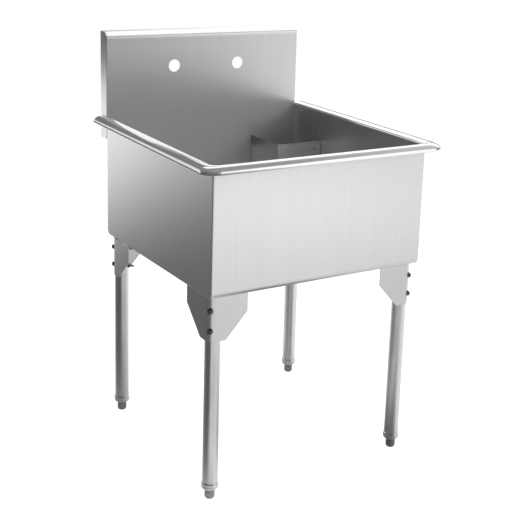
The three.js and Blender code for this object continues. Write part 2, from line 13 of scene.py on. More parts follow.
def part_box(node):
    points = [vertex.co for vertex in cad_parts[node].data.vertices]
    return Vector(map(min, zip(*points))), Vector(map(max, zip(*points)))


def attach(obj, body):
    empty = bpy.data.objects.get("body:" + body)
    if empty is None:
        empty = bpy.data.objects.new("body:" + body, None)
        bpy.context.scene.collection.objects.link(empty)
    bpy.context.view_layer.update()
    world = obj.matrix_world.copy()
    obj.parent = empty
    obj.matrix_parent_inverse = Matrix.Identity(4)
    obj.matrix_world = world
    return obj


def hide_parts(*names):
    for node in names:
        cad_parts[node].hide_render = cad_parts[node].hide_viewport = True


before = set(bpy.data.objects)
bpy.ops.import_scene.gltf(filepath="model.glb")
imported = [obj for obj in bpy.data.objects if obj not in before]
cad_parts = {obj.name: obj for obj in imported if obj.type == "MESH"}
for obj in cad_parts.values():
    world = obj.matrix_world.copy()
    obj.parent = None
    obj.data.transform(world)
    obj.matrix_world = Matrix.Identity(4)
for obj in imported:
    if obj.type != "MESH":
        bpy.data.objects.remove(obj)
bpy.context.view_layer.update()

bl_info = {
    "name": "Laundry sink",
    "version": (1, 0, 0),
    "blender": (4, 5, 0),
    "location": "View3D > Sidebar > Sink",
    "description": "Builds a stainless laundry sink over its packed solids, with its studio",
    "category": "Object",
}

# ------------------------------------------------------------------ places from the frame

SPLASH_LOW, SPLASH_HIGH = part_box("backsplash")
PANEL_LOW, PANEL_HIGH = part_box("end_panel_left")
RIM_LOW, RIM_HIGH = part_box("rim_roll")
FRONT_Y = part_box("bowl_front")[0][1]
WALL_Y = SPLASH_HIGH[1]
BACK_Y = PANEL_HIGH[1]
SIDE_X = -PANEL_LOW[0]
SPLASH_TOP = SPLASH_HIGH[2]
WALL_TOP = PANEL_HIGH[2]
RIM_CREST = RIM_HIGH[2]
RIM_WIDTH = -RIM_LOW[0] - SIDE_X
RIM_END_Y = RIM_HIGH[1]

SIDES = ((-1, "left"), (1, "right"))
LEGS = {
    "front_left": (-1, -1),
    "front_right": (1, -1),
    "back_left": (-1, 1),
    "back_right": (1, 1),
}

# ------------------------------------------------------------------ sizes and colours


def length(name, description, default):
    """A size in metres."""
    return FloatProperty(name=name, description=description, default=default, unit="LENGTH", precision=5)


def colour(name, description, default):
    """A linear colour."""
    return FloatVectorProperty(
        name=name, description=description, default=default, size=3, subtype="COLOR", min=0, max=1)


class SinkSizes(bpy.types.PropertyGroup):
    """Sizes that the solids state and the dressed pieces repeat."""

    sheet: length("Sheet", "Thickness of the bowl's sheet", 0.0015)
    seam: length("Seam", "Gap between pieces that touch", 0.0003)
    underside: length("Underside", "Height of the bowl's underside at the front", 0.536)
    floor_fall: length("Floor fall", "How much lower the floor is at the back", 0.014)
    floor_bend: length("Floor bend", "Outside radius of the floor's front and back bends", 0.016)
    corner: length("Corner", "Outside radius of the bowl's upright corners", 0.004)
    splash_bend: length("Splash bend", "Radius between the backsplash and its bevel", 0.016)
    splash_top_bend: length("Ledge bend", "Radius between the bevel and the ledge", 0.003)
    splash_bevel: length("Bevel", "Run and rise of the backsplash's bevel", 0.015)
    return_corner: length("Return corner", "Radius between the backsplash and its returns", 0.0022)
    tap_hole: length("Tap hole", "Diameter of a tap hole", 0.035)
    tap_spacing: length("Tap spacing", "Distance between the tap holes", 0.2032)
    tap_above_rim: length("Tap height", "Height of the tap holes above the rim's crest", 0.128)
    rim_crest_out: length("Rim crest", "Distance of the rim's crest outside the wall", 0.014)
    rim_inner_rise: length("Rim rise", "Height of the crest above the wall's top", 0.008)
    rim_outer_drop: length("Rim drop", "Height of the crest above the rim's outer edge", 0.0165)
    rim_corner: length("Rim corner", "Growth of the rim's plan radius away from the wall", 0.036)
    rim_corner_blend: length("Rim corner blend", "Distance over which that radius grows", 0.012)
    bracket: length("Bracket plate", "Thickness of a leg bracket", 0.002)
    bracket_back: length("Bracket back", "Reach of a bracket along the bowl's side", 0.098)
    bracket_across: length("Bracket across", "Reach of a bracket across the bowl", 0.083)
    bracket_height: length("Bracket height", "Full height of a bracket", 0.114)
    bracket_side: length("Bracket side", "Upright part of a bracket's outer edges", 0.049)
    bracket_foot: length("Bracket foot", "Reach of a bracket's bottom edge from the leg's axis", 0.025)
    bracket_gap: length("Bracket gap", "Shadow gap between a bracket and the bowl", 0.0011)
    guard_sheet: length("Guard sheet", "Thickness of the corner guard", 0.0012)
    guard_bend: length("Guard bend", "Outside radius of the guard's bend", 0.007)
    guard_hole: length("Guard hole", "Diameter of the guard's holes", 0.006)
    drain_inset: length("Drain inset", "Distance of the drain from the side and back walls", 0.084)


class SinkFinish(bpy.types.PropertyGroup):
    """Colours and roughness of the finishes."""

    steel: colour("Steel", "Brushed stainless sheet", (0.84, 0.84, 0.84))
    plate: colour("Plate", "Leg brackets", (0.78, 0.78, 0.78))
    tube: colour("Tube", "Leg tubes and collars", (0.92, 0.92, 0.92))
    fastener: colour("Fastener", "Bolts, washers and nuts", (0.3, 0.3, 0.31))
    foot: colour("Foot", "Levelling feet", (0.42, 0.42, 0.43))
    chrome: colour("Chrome", "Plated drain parts", (0.83, 0.84, 0.85))
    rubber: colour("Rubber", "Seals", (0.02, 0.02, 0.02))
    sheet_roughness: FloatProperty(
        name="Sheet roughness", description="Roughness of the brushed sheet", default=0.3, min=0, max=1)


# ------------------------------------------------------------------ paths and surfaces

BEND_STEP = math.radians(7.5)
TINY = 1e-6


def full_turn(count):
    """Angles of a full turn in equal steps."""
    return np.linspace(0, 2 * math.pi, count, endpoint=False)


def paired(*values):
    """Values of one common shape, side by side."""
    return np.stack(np.broadcast_arrays(*values), axis=-1)


def rounded_path(corners, closed=False):
    """Points of straight runs whose corners (u, v, radius) are cut by tangent circles.

    Each circle's centre lies on the corner's bisector, radius / sin(half angle) away."""
    points = []
    count = len(corners)
    for index, (u, v, radius) in enumerate(corners):
        corner = np.array([u, v])
        if not radius:
            points.append(corner[None])
            continue
        before = np.array(corners[index - 1][:2]) - corner
        after = np.array(corners[(index + 1) % count][:2]) - corner
        before /= np.linalg.norm(before)
        after /= np.linalg.norm(after)
        half = math.acos(np.clip(before @ after, -1, 1)) / 2
        bisector = (before + after) / np.linalg.norm(before + after)
        centre = corner + bisector * radius / math.sin(half)
        start = corner + before * radius / math.tan(half) - centre
        side = np.sign(after[0] * before[1] - after[1] * before[0])
        turn = side * (math.pi - 2 * half)
        angles = np.linspace(0, turn, max(3, round(abs(turn) / BEND_STEP) + 1))
        cosines, sines = np.cos(angles), np.sin(angles)
        points.append(centre + np.stack(
            [start[0] * cosines - start[1] * sines, start[0] * sines + start[1] * cosines], axis=1))
    path = np.concatenate(points)
    return np.concatenate([path, path[:1]]) if closed else path


def left_normals(path):
    """Unit vectors to the left of an open path, lengthened at its corners to keep a sheet's thickness."""
    runs = np.diff(path, axis=0)
    runs /= np.linalg.norm(runs, axis=1, keepdims=True)
    left = np.stack([-runs[:, 1], runs[:, 0]], axis=1)
    before = np.concatenate([left[:1], left])
    after = np.concatenate([left, left[-1:]])
    mitre = before + after
    mitre /= np.linalg.norm(mitre, axis=1, keepdims=True)
    return mitre / np.sum(mitre * before, axis=1, keepdims=True)


def run_lengths(path):
    """Distance of each point of a path from its start."""
    return np.concatenate([[0], np.cumsum(np.linalg.norm(np.diff(path, axis=0), axis=1))])


def at_distances(distances, along, values):
    """A path's points or directions at distances along it."""
    return np.stack([np.interp(distances, along, values[:, k]) for k in (0, 1)], axis=1)


def grid_quads(rows, columns, closed_columns=False):
    """Quads of a grid of vertices numbered row by row."""
    across = columns if closed_columns else columns - 1
    row, column = np.meshgrid(np.arange(rows - 1), np.arange(across), indexing="ij")
    after = (column + 1) % columns
    low, high = row * columns, (row + 1) * columns
    quads = [low + column, high + column, high + after, low + after]
    return np.stack(quads, axis=-1).reshape(-1, 4)


def perforated_grid(rows, columns, openings):
    """A grid of cells in the plane, with a fan of triangles round each opening.

    openings maps a cell (row, column) to its ring of points, counted from the row direction
    toward the column direction. Returns the points (n, 2) and the groups of faces."""
    points = [paired(*np.meshgrid(rows, columns, indexing="ij")).reshape(-1, 2)]
    quads = grid_quads(len(rows), len(columns))
    cells = [row * (len(columns) - 1) + column for row, column in openings]
    groups = [np.delete(quads, cells, axis=0)]
    start = len(points[0])
    for cell, ring in zip(cells, openings.values()):
        low_low, high_low, high_high, low_high = quads[cell]
        corners = np.array([high_high, low_high, low_low, high_low])
        count = len(ring)
        step = np.arange(count)
        quarter = step * 4 // count
        groups.append(np.stack([start + (step + 1) % count, start + step, corners[quarter]], axis=1))
        turn = np.arange(4)
        groups.append(np.stack(
            [corners[turn], corners[(turn + 1) % 4], start + ((turn + 1) * count // 4) % count], axis=1))
        points.append(ring)
        start += count
    return np.concatenate(points), groups


def ring_points(centre, radius, count=40):
    """Points of a circle, counted from the first axis toward the second."""
    angles = full_turn(count)
    return np.asarray(centre) + radius * paired(np.cos(angles), np.sin(angles))


def thickened(outer, inner, groups, grain):
    """Closed faces of a sheet: its outer face, its inner face reversed, and a strip along each free
    edge."""
    count = len(outer)
    edges = np.concatenate([paired(group, np.roll(group, -1, axis=1)).reshape(-1, 2) for group in groups])
    forward = edges[:, 0] * count + edges[:, 1]
    backward = edges[:, 1] * count + edges[:, 0]
    free = edges[~np.isin(forward, backward)]
    strip = np.stack([free[:, 1], free[:, 0], free[:, 0] + count, free[:, 1] + count], axis=1)
    under = [group[:, ::-1] + count for group in groups]
    return np.concatenate([outer, inner]), [*groups, *under, strip], np.concatenate([grain, grain])


def sheet_of(face, thickness, groups, grain):
    """A sheet from a function that gives its points at a depth below its outer face."""
    faces = (face(depth).reshape(-1, 3) for depth in (0, thickness))
    return thickened(*faces, groups, grain.reshape(-1, 2))


def turned_grid(radius, height, angles, grain=None):
    """Rows of a radius and a height for each angle about the Z axis, joined row to row. Without a grain
    map of its own the surface is mapped flat, by x and y."""
    points = paired(radius * np.cos(angles), radius * np.sin(angles), height)
    grain = points[..., :2] if grain is None else grain
    return points.reshape(-1, 3), [grid_quads(len(points), len(angles), True)], grain.reshape(-1, 2)


def turned_rows(rows, angles):
    """A turned surface from rows of (radius, height), each one number or one for each angle."""
    full_rows = np.stack([paired(*row, angles)[:, :2] for row in rows])
    return turned_grid(full_rows[..., 0], full_rows[..., 1], angles)


def turned_surface(profile, segments):
    """A profile of (radius, height) carried round the Z axis, with its ends on the axis or joined."""
    angles = full_turn(segments)
    radius, height = profile[:, :1], profile[:, 1:]
    return turned_grid(radius, height, angles, paired(radius * angles, run_lengths(profile)[:, None]))


# ------------------------------------------------------------------ pieces


SHARP_ANGLE = math.radians(32)
WELD_DISTANCE = 2e-6
EDGE_BREAK = 0.0003


def add_piece(name, shape, finish, nodes, body="sink", edge=0.0):
    """Puts a computed surface into the scene as one closed, smooth piece that stands for its nodes."""
    points, groups, grain = shape
    faces = [face for group in groups for face in np.asarray(group).tolist()]
    mesh = bpy.data.meshes.new(name)
    mesh.from_pydata(points.tolist(), [], faces)
    corners = np.empty(len(mesh.loops), dtype=np.int64)
    mesh.loops.foreach_get("vertex_index", corners)
    uv_map = mesh.uv_layers.new(name="grain")
    uv_map.data.foreach_set("uv", grain[corners].astype(np.float32).ravel())
    shell = bmesh.new()
    shell.from_mesh(mesh)
    bmesh.ops.remove_doubles(shell, verts=shell.verts, dist=WELD_DISTANCE)
    bmesh.ops.recalc_face_normals(shell, faces=shell.faces)
    shell.to_mesh(mesh)
    shell.free()
    mesh.polygons.foreach_set("use_smooth", np.ones(len(mesh.polygons), dtype=bool))
    mesh.set_sharp_from_angle(angle=SHARP_ANGLE)
    mesh.materials.append(FINISHES[finish])
    piece = bpy.data.objects.new(name, mesh)
    bpy.context.scene.collection.objects.link(piece)
    if edge:
        bevel = piece.modifiers.new("Broken edges", "BEVEL")
        bevel.width = edge
        bevel.segments = 2
        bevel.limit_method = "ANGLE"
        bevel.angle_limit = SHARP_ANGLE
        bevel.use_clamp_overlap = True
    normals = piece.modifiers.new("Flat faces", "WEIGHTED_NORMAL")
    normals.keep_sharp = True
    normals.weight = 80
    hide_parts(*nodes)
    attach(piece, body)


def underside_at(y, sizes):
    """Height of the bowl's underside: a straight fall from the front wall to the back."""
    return sizes.underside - (y - FRONT_Y) * floor_slope(sizes)


def floor_slope(sizes):
    """Fall of the floor for each metre toward the back."""
    return sizes.floor_fall / (BACK_Y - FRONT_Y)


def bowl_corners(sizes):
    """Corners of the bowl's outer faces, down the front, along the floor and up the back."""
    return [
        (FRONT_Y, WALL_TOP, 0),
        (FRONT_Y, underside_at(FRONT_Y, sizes), sizes.floor_bend),
        (BACK_Y, underside_at(BACK_Y, sizes), sizes.floor_bend),
    ]


def splash_corners(sizes, depth):
    """Corners of the bevel and ledge at a depth behind the sheet's face."""
    shift = depth * math.tan(math.pi / 8)
    face_y = BACK_Y - sizes.sheet
    return [
        (face_y + depth, SPLASH_TOP - sizes.splash_bevel - shift, sizes.splash_bend - depth),
        (face_y + sizes.splash_bevel + shift, SPLASH_TOP - depth, sizes.splash_top_bend - depth),
        (WALL_Y, SPLASH_TOP - depth, 0),
    ]


def drain_axis(sizes):
    """The drain stands square to the sloping floor."""
    slope = math.atan(floor_slope(sizes))
    return (0, math.sin(slope), math.cos(slope))


def drain_place(sizes):
    """Middle of the drain on the floor's upper face."""
    x = SIDE_X - sizes.sheet - sizes.drain_inset
    y = BACK_Y - sizes.sheet - sizes.drain_inset
    rise = sizes.sheet / math.cos(math.atan(floor_slope(sizes)))
    return np.array([x, y, underside_at(y, sizes) + rise])


def bowl_sheet_shape(sizes):
    """The wrapped sheet: distance along its path by place across, with three round openings."""
    tap_z = RIM_CREST + sizes.tap_above_rim
    margin, drain_margin = 0.03, 0.045
    drain_opening = 0.031
    drain = drain_place(sizes)
    slope = floor_slope(sizes)
    front, floor_front, floor_back = bowl_corners(sizes)
    band = [
        (y, underside_at(y, sizes), 0) for y in (drain[1] - drain_margin, drain[1] + drain_margin)]
    upright = [(BACK_Y, z, 0) for z in (WALL_TOP, tap_z - margin, tap_z + margin)]
    corners = [front, floor_front, *band, floor_back, *upright, *splash_corners(sizes, sizes.sheet)]
    path = rounded_path(corners)
    normals = left_normals(path)
    along = run_lengths(path)

    def row_at(y, z):
        return int(np.argmin(np.hypot(path[:, 0] - y, path[:, 1] - z)))

    tap_row = row_at(BACK_Y, tap_z - margin)
    drain_row = row_at(*band[0][:2])
    wall_row = row_at(BACK_Y, WALL_TOP)
    bowl_edge = SIDE_X - sizes.corner
    splash_edge = SIDE_X - sizes.return_corner
    tap_x = sizes.tap_spacing / 2
    inner = sorted([
        *(side * tap_x + shift for side in (-1, 1) for shift in (-margin, margin)),
        drain[0] - drain_margin, drain[0] + drain_margin])
    columns = np.array([-splash_edge, -bowl_edge, *inner, bowl_edge, splash_edge])
    openings = {}
    for side in (-1, 1):
        column = int(np.argmin(abs(columns - (side * tap_x - margin))))
        centre = (along[tap_row] + margin, side * tap_x)
        openings[(tap_row, column)] = ring_points(centre, sizes.tap_hole / 2)
    column = int(np.argmin(abs(columns - (drain[0] - drain_margin))))
    reach = drain_margin * math.hypot(1, slope)
    centre = (along[drain_row] + reach, drain[0])
    openings[(drain_row, column)] = ring_points(centre, drain_opening)
    grid, groups = perforated_grid(along, columns, openings)
    outside_bowl = abs(grid[:, 1]) > bowl_edge + TINY
    below = outside_bowl & (grid[:, 0] < along[wall_row] - TINY)
    groups = [group[~below[group].any(axis=1)] for group in groups]
    outside = at_distances(grid[:, 0], along, path)
    inside = outside + sizes.sheet * at_distances(grid[:, 0], along, normals)
    faces = (np.column_stack([grid[:, 1], place]) for place in (outside, inside))
    return used_only(*thickened(*faces, groups, grid[:, ::-1]))


def used_only(points, groups, grain):
    """Drops points that no face uses."""
    used = np.unique(np.concatenate([group.ravel() for group in groups]))
    number = np.full(len(points), -1)
    number[used] = np.arange(len(used))
    return points[used], [number[group] for group in groups], grain[used]


def rolled_panel_shape(path, side, radius, thickness, extra=()):
    """A flat end plate whose edge rolls over along a path: at distance d inside the path it stands at
    radius (1 - cos) across and radius (sin) out, and beyond the roll it is flat."""
    normals = left_normals(path)
    turn = np.linspace(0, math.pi / 2, 7)
    flat_margin = 0.004

    def face(inset):
        bend = radius - inset
        depth = np.append(radius - bend * np.cos(turn), radius + flat_margin)
        out = SIDE_X - radius + np.append(bend * np.sin(turn), bend)
        place = path[:, None] + depth[None, :, None] * normals[:, None]
        x = np.broadcast_to(side * out, place.shape[:2])
        rolled = np.dstack([x, place]).reshape(-1, 3)
        rest = np.array([(side * (SIDE_X - inset), y, z) for y, z in extra]).reshape(-1, 3)
        return np.concatenate([rolled, rest])

    columns = len(turn) + 1
    loop = np.arange(len(path)) * columns + columns - 1
    loop = np.concatenate([loop, len(path) * columns + np.arange(len(extra))])
    groups = [grid_quads(len(path), columns), loop[None]]
    return sheet_of(face, thickness, groups, face(0)[:, 1:])


def rim_shape(sizes):
    """The rolled rim: a section of two quarter ellipses over the sheet, carried round three sides.

    Out to a distance o from the wall the plan corner's radius is
    corner + growth * (1 - exp(-o / blend)), and inside the wall it is corner + o."""
    turn = np.linspace(0, math.pi / 2, 13)
    crest = sizes.rim_crest_out

    def section(inset):
        inner_out = crest - (crest + sizes.sheet - inset) * np.cos(turn)
        inner_z = WALL_TOP + sizes.seam + (sizes.rim_inner_rise - inset) * np.sin(turn)
        outer_out = crest + (RIM_WIDTH - crest - inset) * np.sin(turn[1:])
        outer_z = RIM_CREST - sizes.rim_outer_drop + (sizes.rim_outer_drop - inset) * np.cos(turn[1:])
        return np.append(inner_out, outer_out), np.append(inner_z, outer_z)

    corner = np.linspace(0, math.pi / 2, 17)
    angle = np.concatenate([[0], corner, corner[::-1], [0]])
    side = np.repeat([-1, 1], len(corner) + 1)
    straight = np.zeros(len(angle), dtype=bool)
    straight[[0, -1]] = True

    def face(inset):
        out, height = section(inset)
        radius = sizes.corner + np.minimum(out, 0) + sizes.rim_corner * (
            1 - np.exp(-np.maximum(out, 0) / sizes.rim_corner_blend))
        x = side[:, None] * (SIDE_X + out - radius + radius * np.cos(angle)[:, None])
        y = FRONT_Y - out + radius - radius * np.sin(angle)[:, None]
        y = np.where(straight[:, None], RIM_END_Y, y)
        return paired(x, y, height)

    outer = face(0)
    crest_line = outer[:, len(turn)]
    grain = paired(run_lengths(outer[0]), run_lengths(crest_line)[:, None])
    return sheet_of(face, sizes.sheet, [grid_quads(*outer.shape[:2])], grain)


def leg_place(leg):
    """Middle, radius and ends of a leg's tube."""
    low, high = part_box(f"leg_tube_{leg}")
    return (low[0] + high[0]) / 2, (low[1] + high[1]) / 2, (high[0] - low[0]) / 2, low[2], high[2]


def bracket_shape(leg, sizes):
    """A plate bent round the leg: its top follows the bowl's fall and its bottom tapers, in straight
    lines of the distance along each wing."""
    side, end = LEGS[leg]
    x, y, radius, _low, _high = leg_place(leg)
    outer = radius + sizes.seam + sizes.bracket
    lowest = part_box(f"leg_bracket_{leg}")[0][2]
    level = lowest + sizes.bracket_height
    corners = [
        (-outer, sizes.bracket_back, 0),
        (-outer, sizes.bracket_foot, 0),
        (-outer, -outer, outer),
        (sizes.bracket_foot, -outer, 0),
        (sizes.bracket_across, -outer, 0),
    ]
    path = rounded_path(corners)
    along = run_lengths(path)
    foot = along[[1, -2]]
    bottom = np.interp(
        along, [0, *foot, along[-1]],
        [level - sizes.bracket_side, lowest, lowest, level - sizes.bracket_side])
    share = np.linspace(0, 1, 6)

    def face(depth):
        plan = path + depth * left_normals(path)
        px = x - side * plan[:, 0]
        py = y - end * plan[:, 1]
        top = underside_at(py, sizes) - sizes.bracket_gap
        pz = bottom[:, None] + (top - bottom)[:, None] * share
        return paired(px[:, None], py[:, None], pz)

    outside = face(0)
    grain = paired(along[:, None], outside[..., 2])
    return sheet_of(face, sizes.bracket, [grid_quads(*outside.shape[:2])], grain)


def hexagon_rows(angles, across_flats, low, high, cone_below, turned_share=0.97):
    """Rows of a hexagon whose top, and bottom if asked, is turned to a cone of 30 degrees from a share of
    its half width. Its radius is that half width over the cosine from the nearest flat's middle."""
    sixth = math.pi / 3
    hexagon = across_flats / 2 / np.cos((angles % sixth) - sixth / 2)
    turned = across_flats / 2 * turned_share
    fall = (hexagon - turned) * math.tan(math.radians(30))
    below = [(hexagon, low + fall), (turned, low)] if cone_below else [(hexagon, low)]
    return [(turned, high), (hexagon, high - fall), *below]


def hexagon_block(across_flats, low, high, bore=0.0, cone_below=False):
    """A hexagon head, or with a bore a nut."""
    angles = full_turn(72)
    rows = [(bore, high), *hexagon_rows(angles, across_flats, low, high, cone_below), (bore, low)]
    return turned_rows([*rows, rows[0]] if bore else rows, angles)


def threaded_rod(radius, pitch, low, high, depth, segments=20):
    """A rod whose radius falls by depth in a triangle wave that turns once round in each pitch."""
    angles = full_turn(segments)
    rows_per_turn = 6
    heights = np.linspace(low, high, max(2, round((high - low) / pitch * rows_per_turn) + 1))
    phase = (heights[:, None] / pitch - angles / (2 * math.pi)) % 1
    wave = radius - depth * (1 - abs(2 * phase - 1))
    radii = np.concatenate([0 * wave[:1], wave, 0 * wave[:1]])
    tall = np.concatenate([[low], heights, [high]])[:, None]
    return turned_grid(radii, tall, angles, paired(radius * angles, tall))


def plain_rod(radius, low, high, segments=32):
    """A plain round rod with flat ends."""
    return turned_surface(np.array([(0, low), (radius, low), (radius, high), (0, high)]), segments)


def joined(*shapes):
    """Several closed surfaces as one."""
    offset = 0
    points, groups, grain = [], [], []
    for shape_points, shape_groups, shape_grain in shapes:
        groups += [group + offset for group in shape_groups]
        offset += len(shape_points)
        points.append(shape_points)
        grain.append(shape_grain)
    return np.concatenate(points), groups, np.concatenate(grain)


def at_place(shape, origin, axis=(0, 0, 1)):
    """A shape made about +Z, moved so that +Z lies along an axis at an origin."""
    points, groups, grain = shape
    turn = Vector((0, 0, 1)).rotation_difference(Vector(axis)).to_matrix()
    return points @ np.array(turn).T + np.asarray(origin), groups, grain


def ring_shape(corners, segments=64):
    """A turned ring from the corners (radius, height, rounding) of its section."""
    return turned_surface(rounded_path(corners, closed=True), segments)


def flat_ring(bore, radius, low, high, bore_round, outer_round, segments=64):
    """A ring of rectangular section with rounded edges."""
    return ring_shape([
        (bore, high, bore_round), (radius, high, outer_round),
        (radius, low, outer_round), (bore, low, bore_round)], segments)


def guard_shape(sizes):
    """The bent guard: distance along its plan by height, its foot trimmed to the floor's height, which is
    straight and then a quarter circle up the back wall."""
    low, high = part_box("corner_guard")
    face_y = BACK_Y - sizes.sheet
    last_hole_back = face_y - 0.022
    last_hole_across = SIDE_X - sizes.sheet - 0.0225
    pitch, row_pitch = 0.085, 0.0254
    first_row, last_row = 0.023, 0.012
    margin = 0.009
    path = rounded_path([
        (low[0], high[1], 0), (low[0], low[1], sizes.guard_bend), (high[0], low[1], 0)])
    normals = left_normals(path)
    along = run_lengths(path)
    wings = (high[1] - last_hole_back, along[-1] - high[0] + last_hole_across)
    signs = (1, -1)
    hole_places = np.array([
        [wing + sign * shift * pitch for shift in (0, 0.5, 1)] for wing, sign in zip(wings, signs)])
    foot_curve = np.linspace(0, sizes.floor_bend, 9)[1:]
    foot_curve = foot_curve[foot_curve < hole_places.min() - margin]
    columns = np.unique(np.round(np.concatenate([
        along, (hole_places - margin).ravel(), (hole_places + margin).ravel(), foot_curve]), 6))
    lowest = underside_at(low[1], sizes) + sizes.sheet + last_row
    heights = np.arange(high[2] - first_row, lowest, -row_pitch)
    below_floor = low[2] - 0.02
    levels = np.unique(np.round(np.concatenate([
        [below_floor, high[2]], heights - margin, heights + margin]), 6))
    openings = {}
    for row, height in enumerate(heights):
        shown = hole_places[:, 1:2] if row % 2 else hole_places[:, ::2]
        level = int(np.argmin(abs(levels - (height - margin))))
        for place in (shown if row else shown[1]).ravel():
            start = int(np.argmin(abs(columns - (place - margin))))
            openings[(start, level)] = ring_points((place, height), sizes.guard_hole / 2, 24)
    grid, groups = perforated_grid(columns, levels, openings)
    plan = at_distances(grid[:, 0], along, path)
    normal = at_distances(grid[:, 0], along, normals)
    bend = sizes.floor_bend - sizes.sheet

    def face(depth):
        place = plan + depth * normal
        over = np.clip(place[:, 1] - (face_y - bend), 0, bend)
        curve = bend - np.sqrt(bend**2 - over**2)
        foot = underside_at(place[:, 1], sizes) + sizes.sheet + curve + sizes.seam
        return np.column_stack([place, np.maximum(grid[:, 1], foot)])

    return sheet_of(face, sizes.guard_sheet, groups, grid[:, ::-1])


def strainer_floor(radius, low, high):
    """The strainer's perforated floor: radius by angle, with a ring of round holes."""
    count, circle, hole = 8, 0.017, 0.003
    pinhole, cell_inner, cell_outer, cell_share = 0.0005, 0.012, 0.022, 0.55
    rows = np.array([pinhole, cell_inner, cell_outer, radius])
    spread = math.pi / count * cell_share
    middles = full_turn(count)
    columns = np.sort(np.concatenate([middles - spread, middles + spread, [2 * math.pi - spread]]))
    openings = {}
    for middle in middles:
        x, y = ring_points((circle, 0), hole, 24).T
        column = int(np.argmin(abs(columns - (middle - spread))))
        openings[(1, column)] = paired(np.hypot(x, y), middle + np.arctan2(y, x))
    grid, groups = perforated_grid(rows, columns, openings)
    x, y = grid[:, 0] * np.cos(grid[:, 1]), grid[:, 0] * np.sin(grid[:, 1])
    return thickened(paired(x, y, high), paired(x, y, low), groups, paired(x, y))


def lobed_ring(bore, radius, depth, count, low, high):
    """A ring whose outer radius steps between lugs and valleys in a smoothed square wave."""
    angles = full_turn(160)
    steepness = 6
    wave = np.tanh(steepness * np.sin(count * angles))
    outer = radius - depth * (1 - wave) / 2
    return turned_rows([(bore, high), (outer, high), (outer, low), (bore, low), (bore, high)], angles)


# ------------------------------------------------------------------ finishes


class NodeTree:
    """Short calls for building a material's or the world's nodes."""

    def __init__(self, tree):
        self.tree = tree
        tree.nodes.clear()

    def add(self, kind, **values):
        """A new node with its settings."""
        node = self.tree.nodes.new(kind)
        for name, value in values.items():
            setattr(node, name, value)
        return node

    def join(self, source, target):
        """Links an output socket to an input socket."""
        self.tree.links.new(source, target)

    def math(self, operation, first, second=None):
        """The result of a math node on sockets or numbers."""
        node = self.add("ShaderNodeMath", operation=operation)
        for socket, value in zip(node.inputs, (first, second)):
            self.feed(socket, value)
        return node.outputs[0]

    def blend(self, first, share, second, other_share):
        """Two sockets, each times its share, added."""
        parts = [self.math("MULTIPLY", *part) for part in ((first, share), (second, other_share))]
        return self.math("ADD", *parts)

    def feed(self, socket, value):
        """Links a socket to another, or sets its value."""
        if value is None:
            return
        if isinstance(value, bpy.types.NodeSocket):
            self.join(value, socket)
        else:
            socket.default_value = value

    def span(self, value, low, high, to_low=0.0, to_high=1.0, smooth=True):
        """A value carried from one range to another, and kept within it."""
        kind = "SMOOTHSTEP" if smooth else "LINEAR"
        node = self.add("ShaderNodeMapRange", interpolation_type=kind)
        for socket, item in zip(node.inputs, (value, low, high, to_low, to_high)):
            self.feed(socket, item)
        return node.outputs[0]

    def noise(self, vector, scale, detail, roughness):
        """Noise of a vector scaled by three factors, about 0.5."""
        mapping = self.add("ShaderNodeMapping")
        self.join(vector, mapping.inputs["Vector"])
        mapping.inputs["Scale"].default_value = scale
        node = self.add("ShaderNodeTexNoise")
        self.join(mapping.outputs[0], node.inputs["Vector"])
        node.inputs["Scale"].default_value = 1
        node.inputs["Detail"].default_value = detail
        node.inputs["Roughness"].default_value = roughness
        return node.outputs[0]


class Finish(NodeTree):
    """The nodes of one finish round a principled shader: its tint, roughness, relief and brushing."""

    def __init__(self, name, metallic):
        self.material = bpy.data.materials.new(name)
        self.material.use_nodes = True
        super().__init__(self.material.node_tree)
        output = self.add("ShaderNodeOutputMaterial")
        self.shader = self.add("ShaderNodeBsdfPrincipled")
        self.join(self.shader.outputs[0], output.inputs["Surface"])
        self.shader.inputs["Metallic"].default_value = metallic
        self.place = self.add("ShaderNodeTexCoord").outputs["Object"]

    def tint(self, base, factor, limits, brightness):
        """A base colour between two brightnesses, as a factor goes from one limit to the other."""
        mix = self.add("ShaderNodeMix", data_type="RGBA")
        self.join(self.span(factor, *limits), mix.inputs["Factor"])
        for index, level in zip((6, 7), brightness):
            mix.inputs[index].default_value = (*(min(1, channel * level) for channel in base), 1)
        self.join(mix.outputs[2], self.shader.inputs["Base Color"])

    def roughen(self, factor, limits, roughness):
        """A roughness between two values, as a factor goes from one limit to the other."""
        self.join(self.span(factor, *limits, *roughness), self.shader.inputs["Roughness"])

    def emboss(self, height, distance, strength):
        """Relief from a height, by a distance in metres and a strength."""
        node = self.add("ShaderNodeBump")
        node.inputs["Distance"].default_value = distance
        node.inputs["Strength"].default_value = strength
        self.join(height, node.inputs["Height"])
        self.join(node.outputs[0], self.shader.inputs["Normal"])

    def brush(self, anisotropy):
        """Reflections stretched by the direction of the piece's grain map."""
        self.shader.inputs["Anisotropic"].default_value = anisotropy
        tangent = self.add("ShaderNodeTangent", direction_type="UV_MAP", uv_map="grain")
        self.join(tangent.outputs[0], self.shader.inputs["Tangent"])


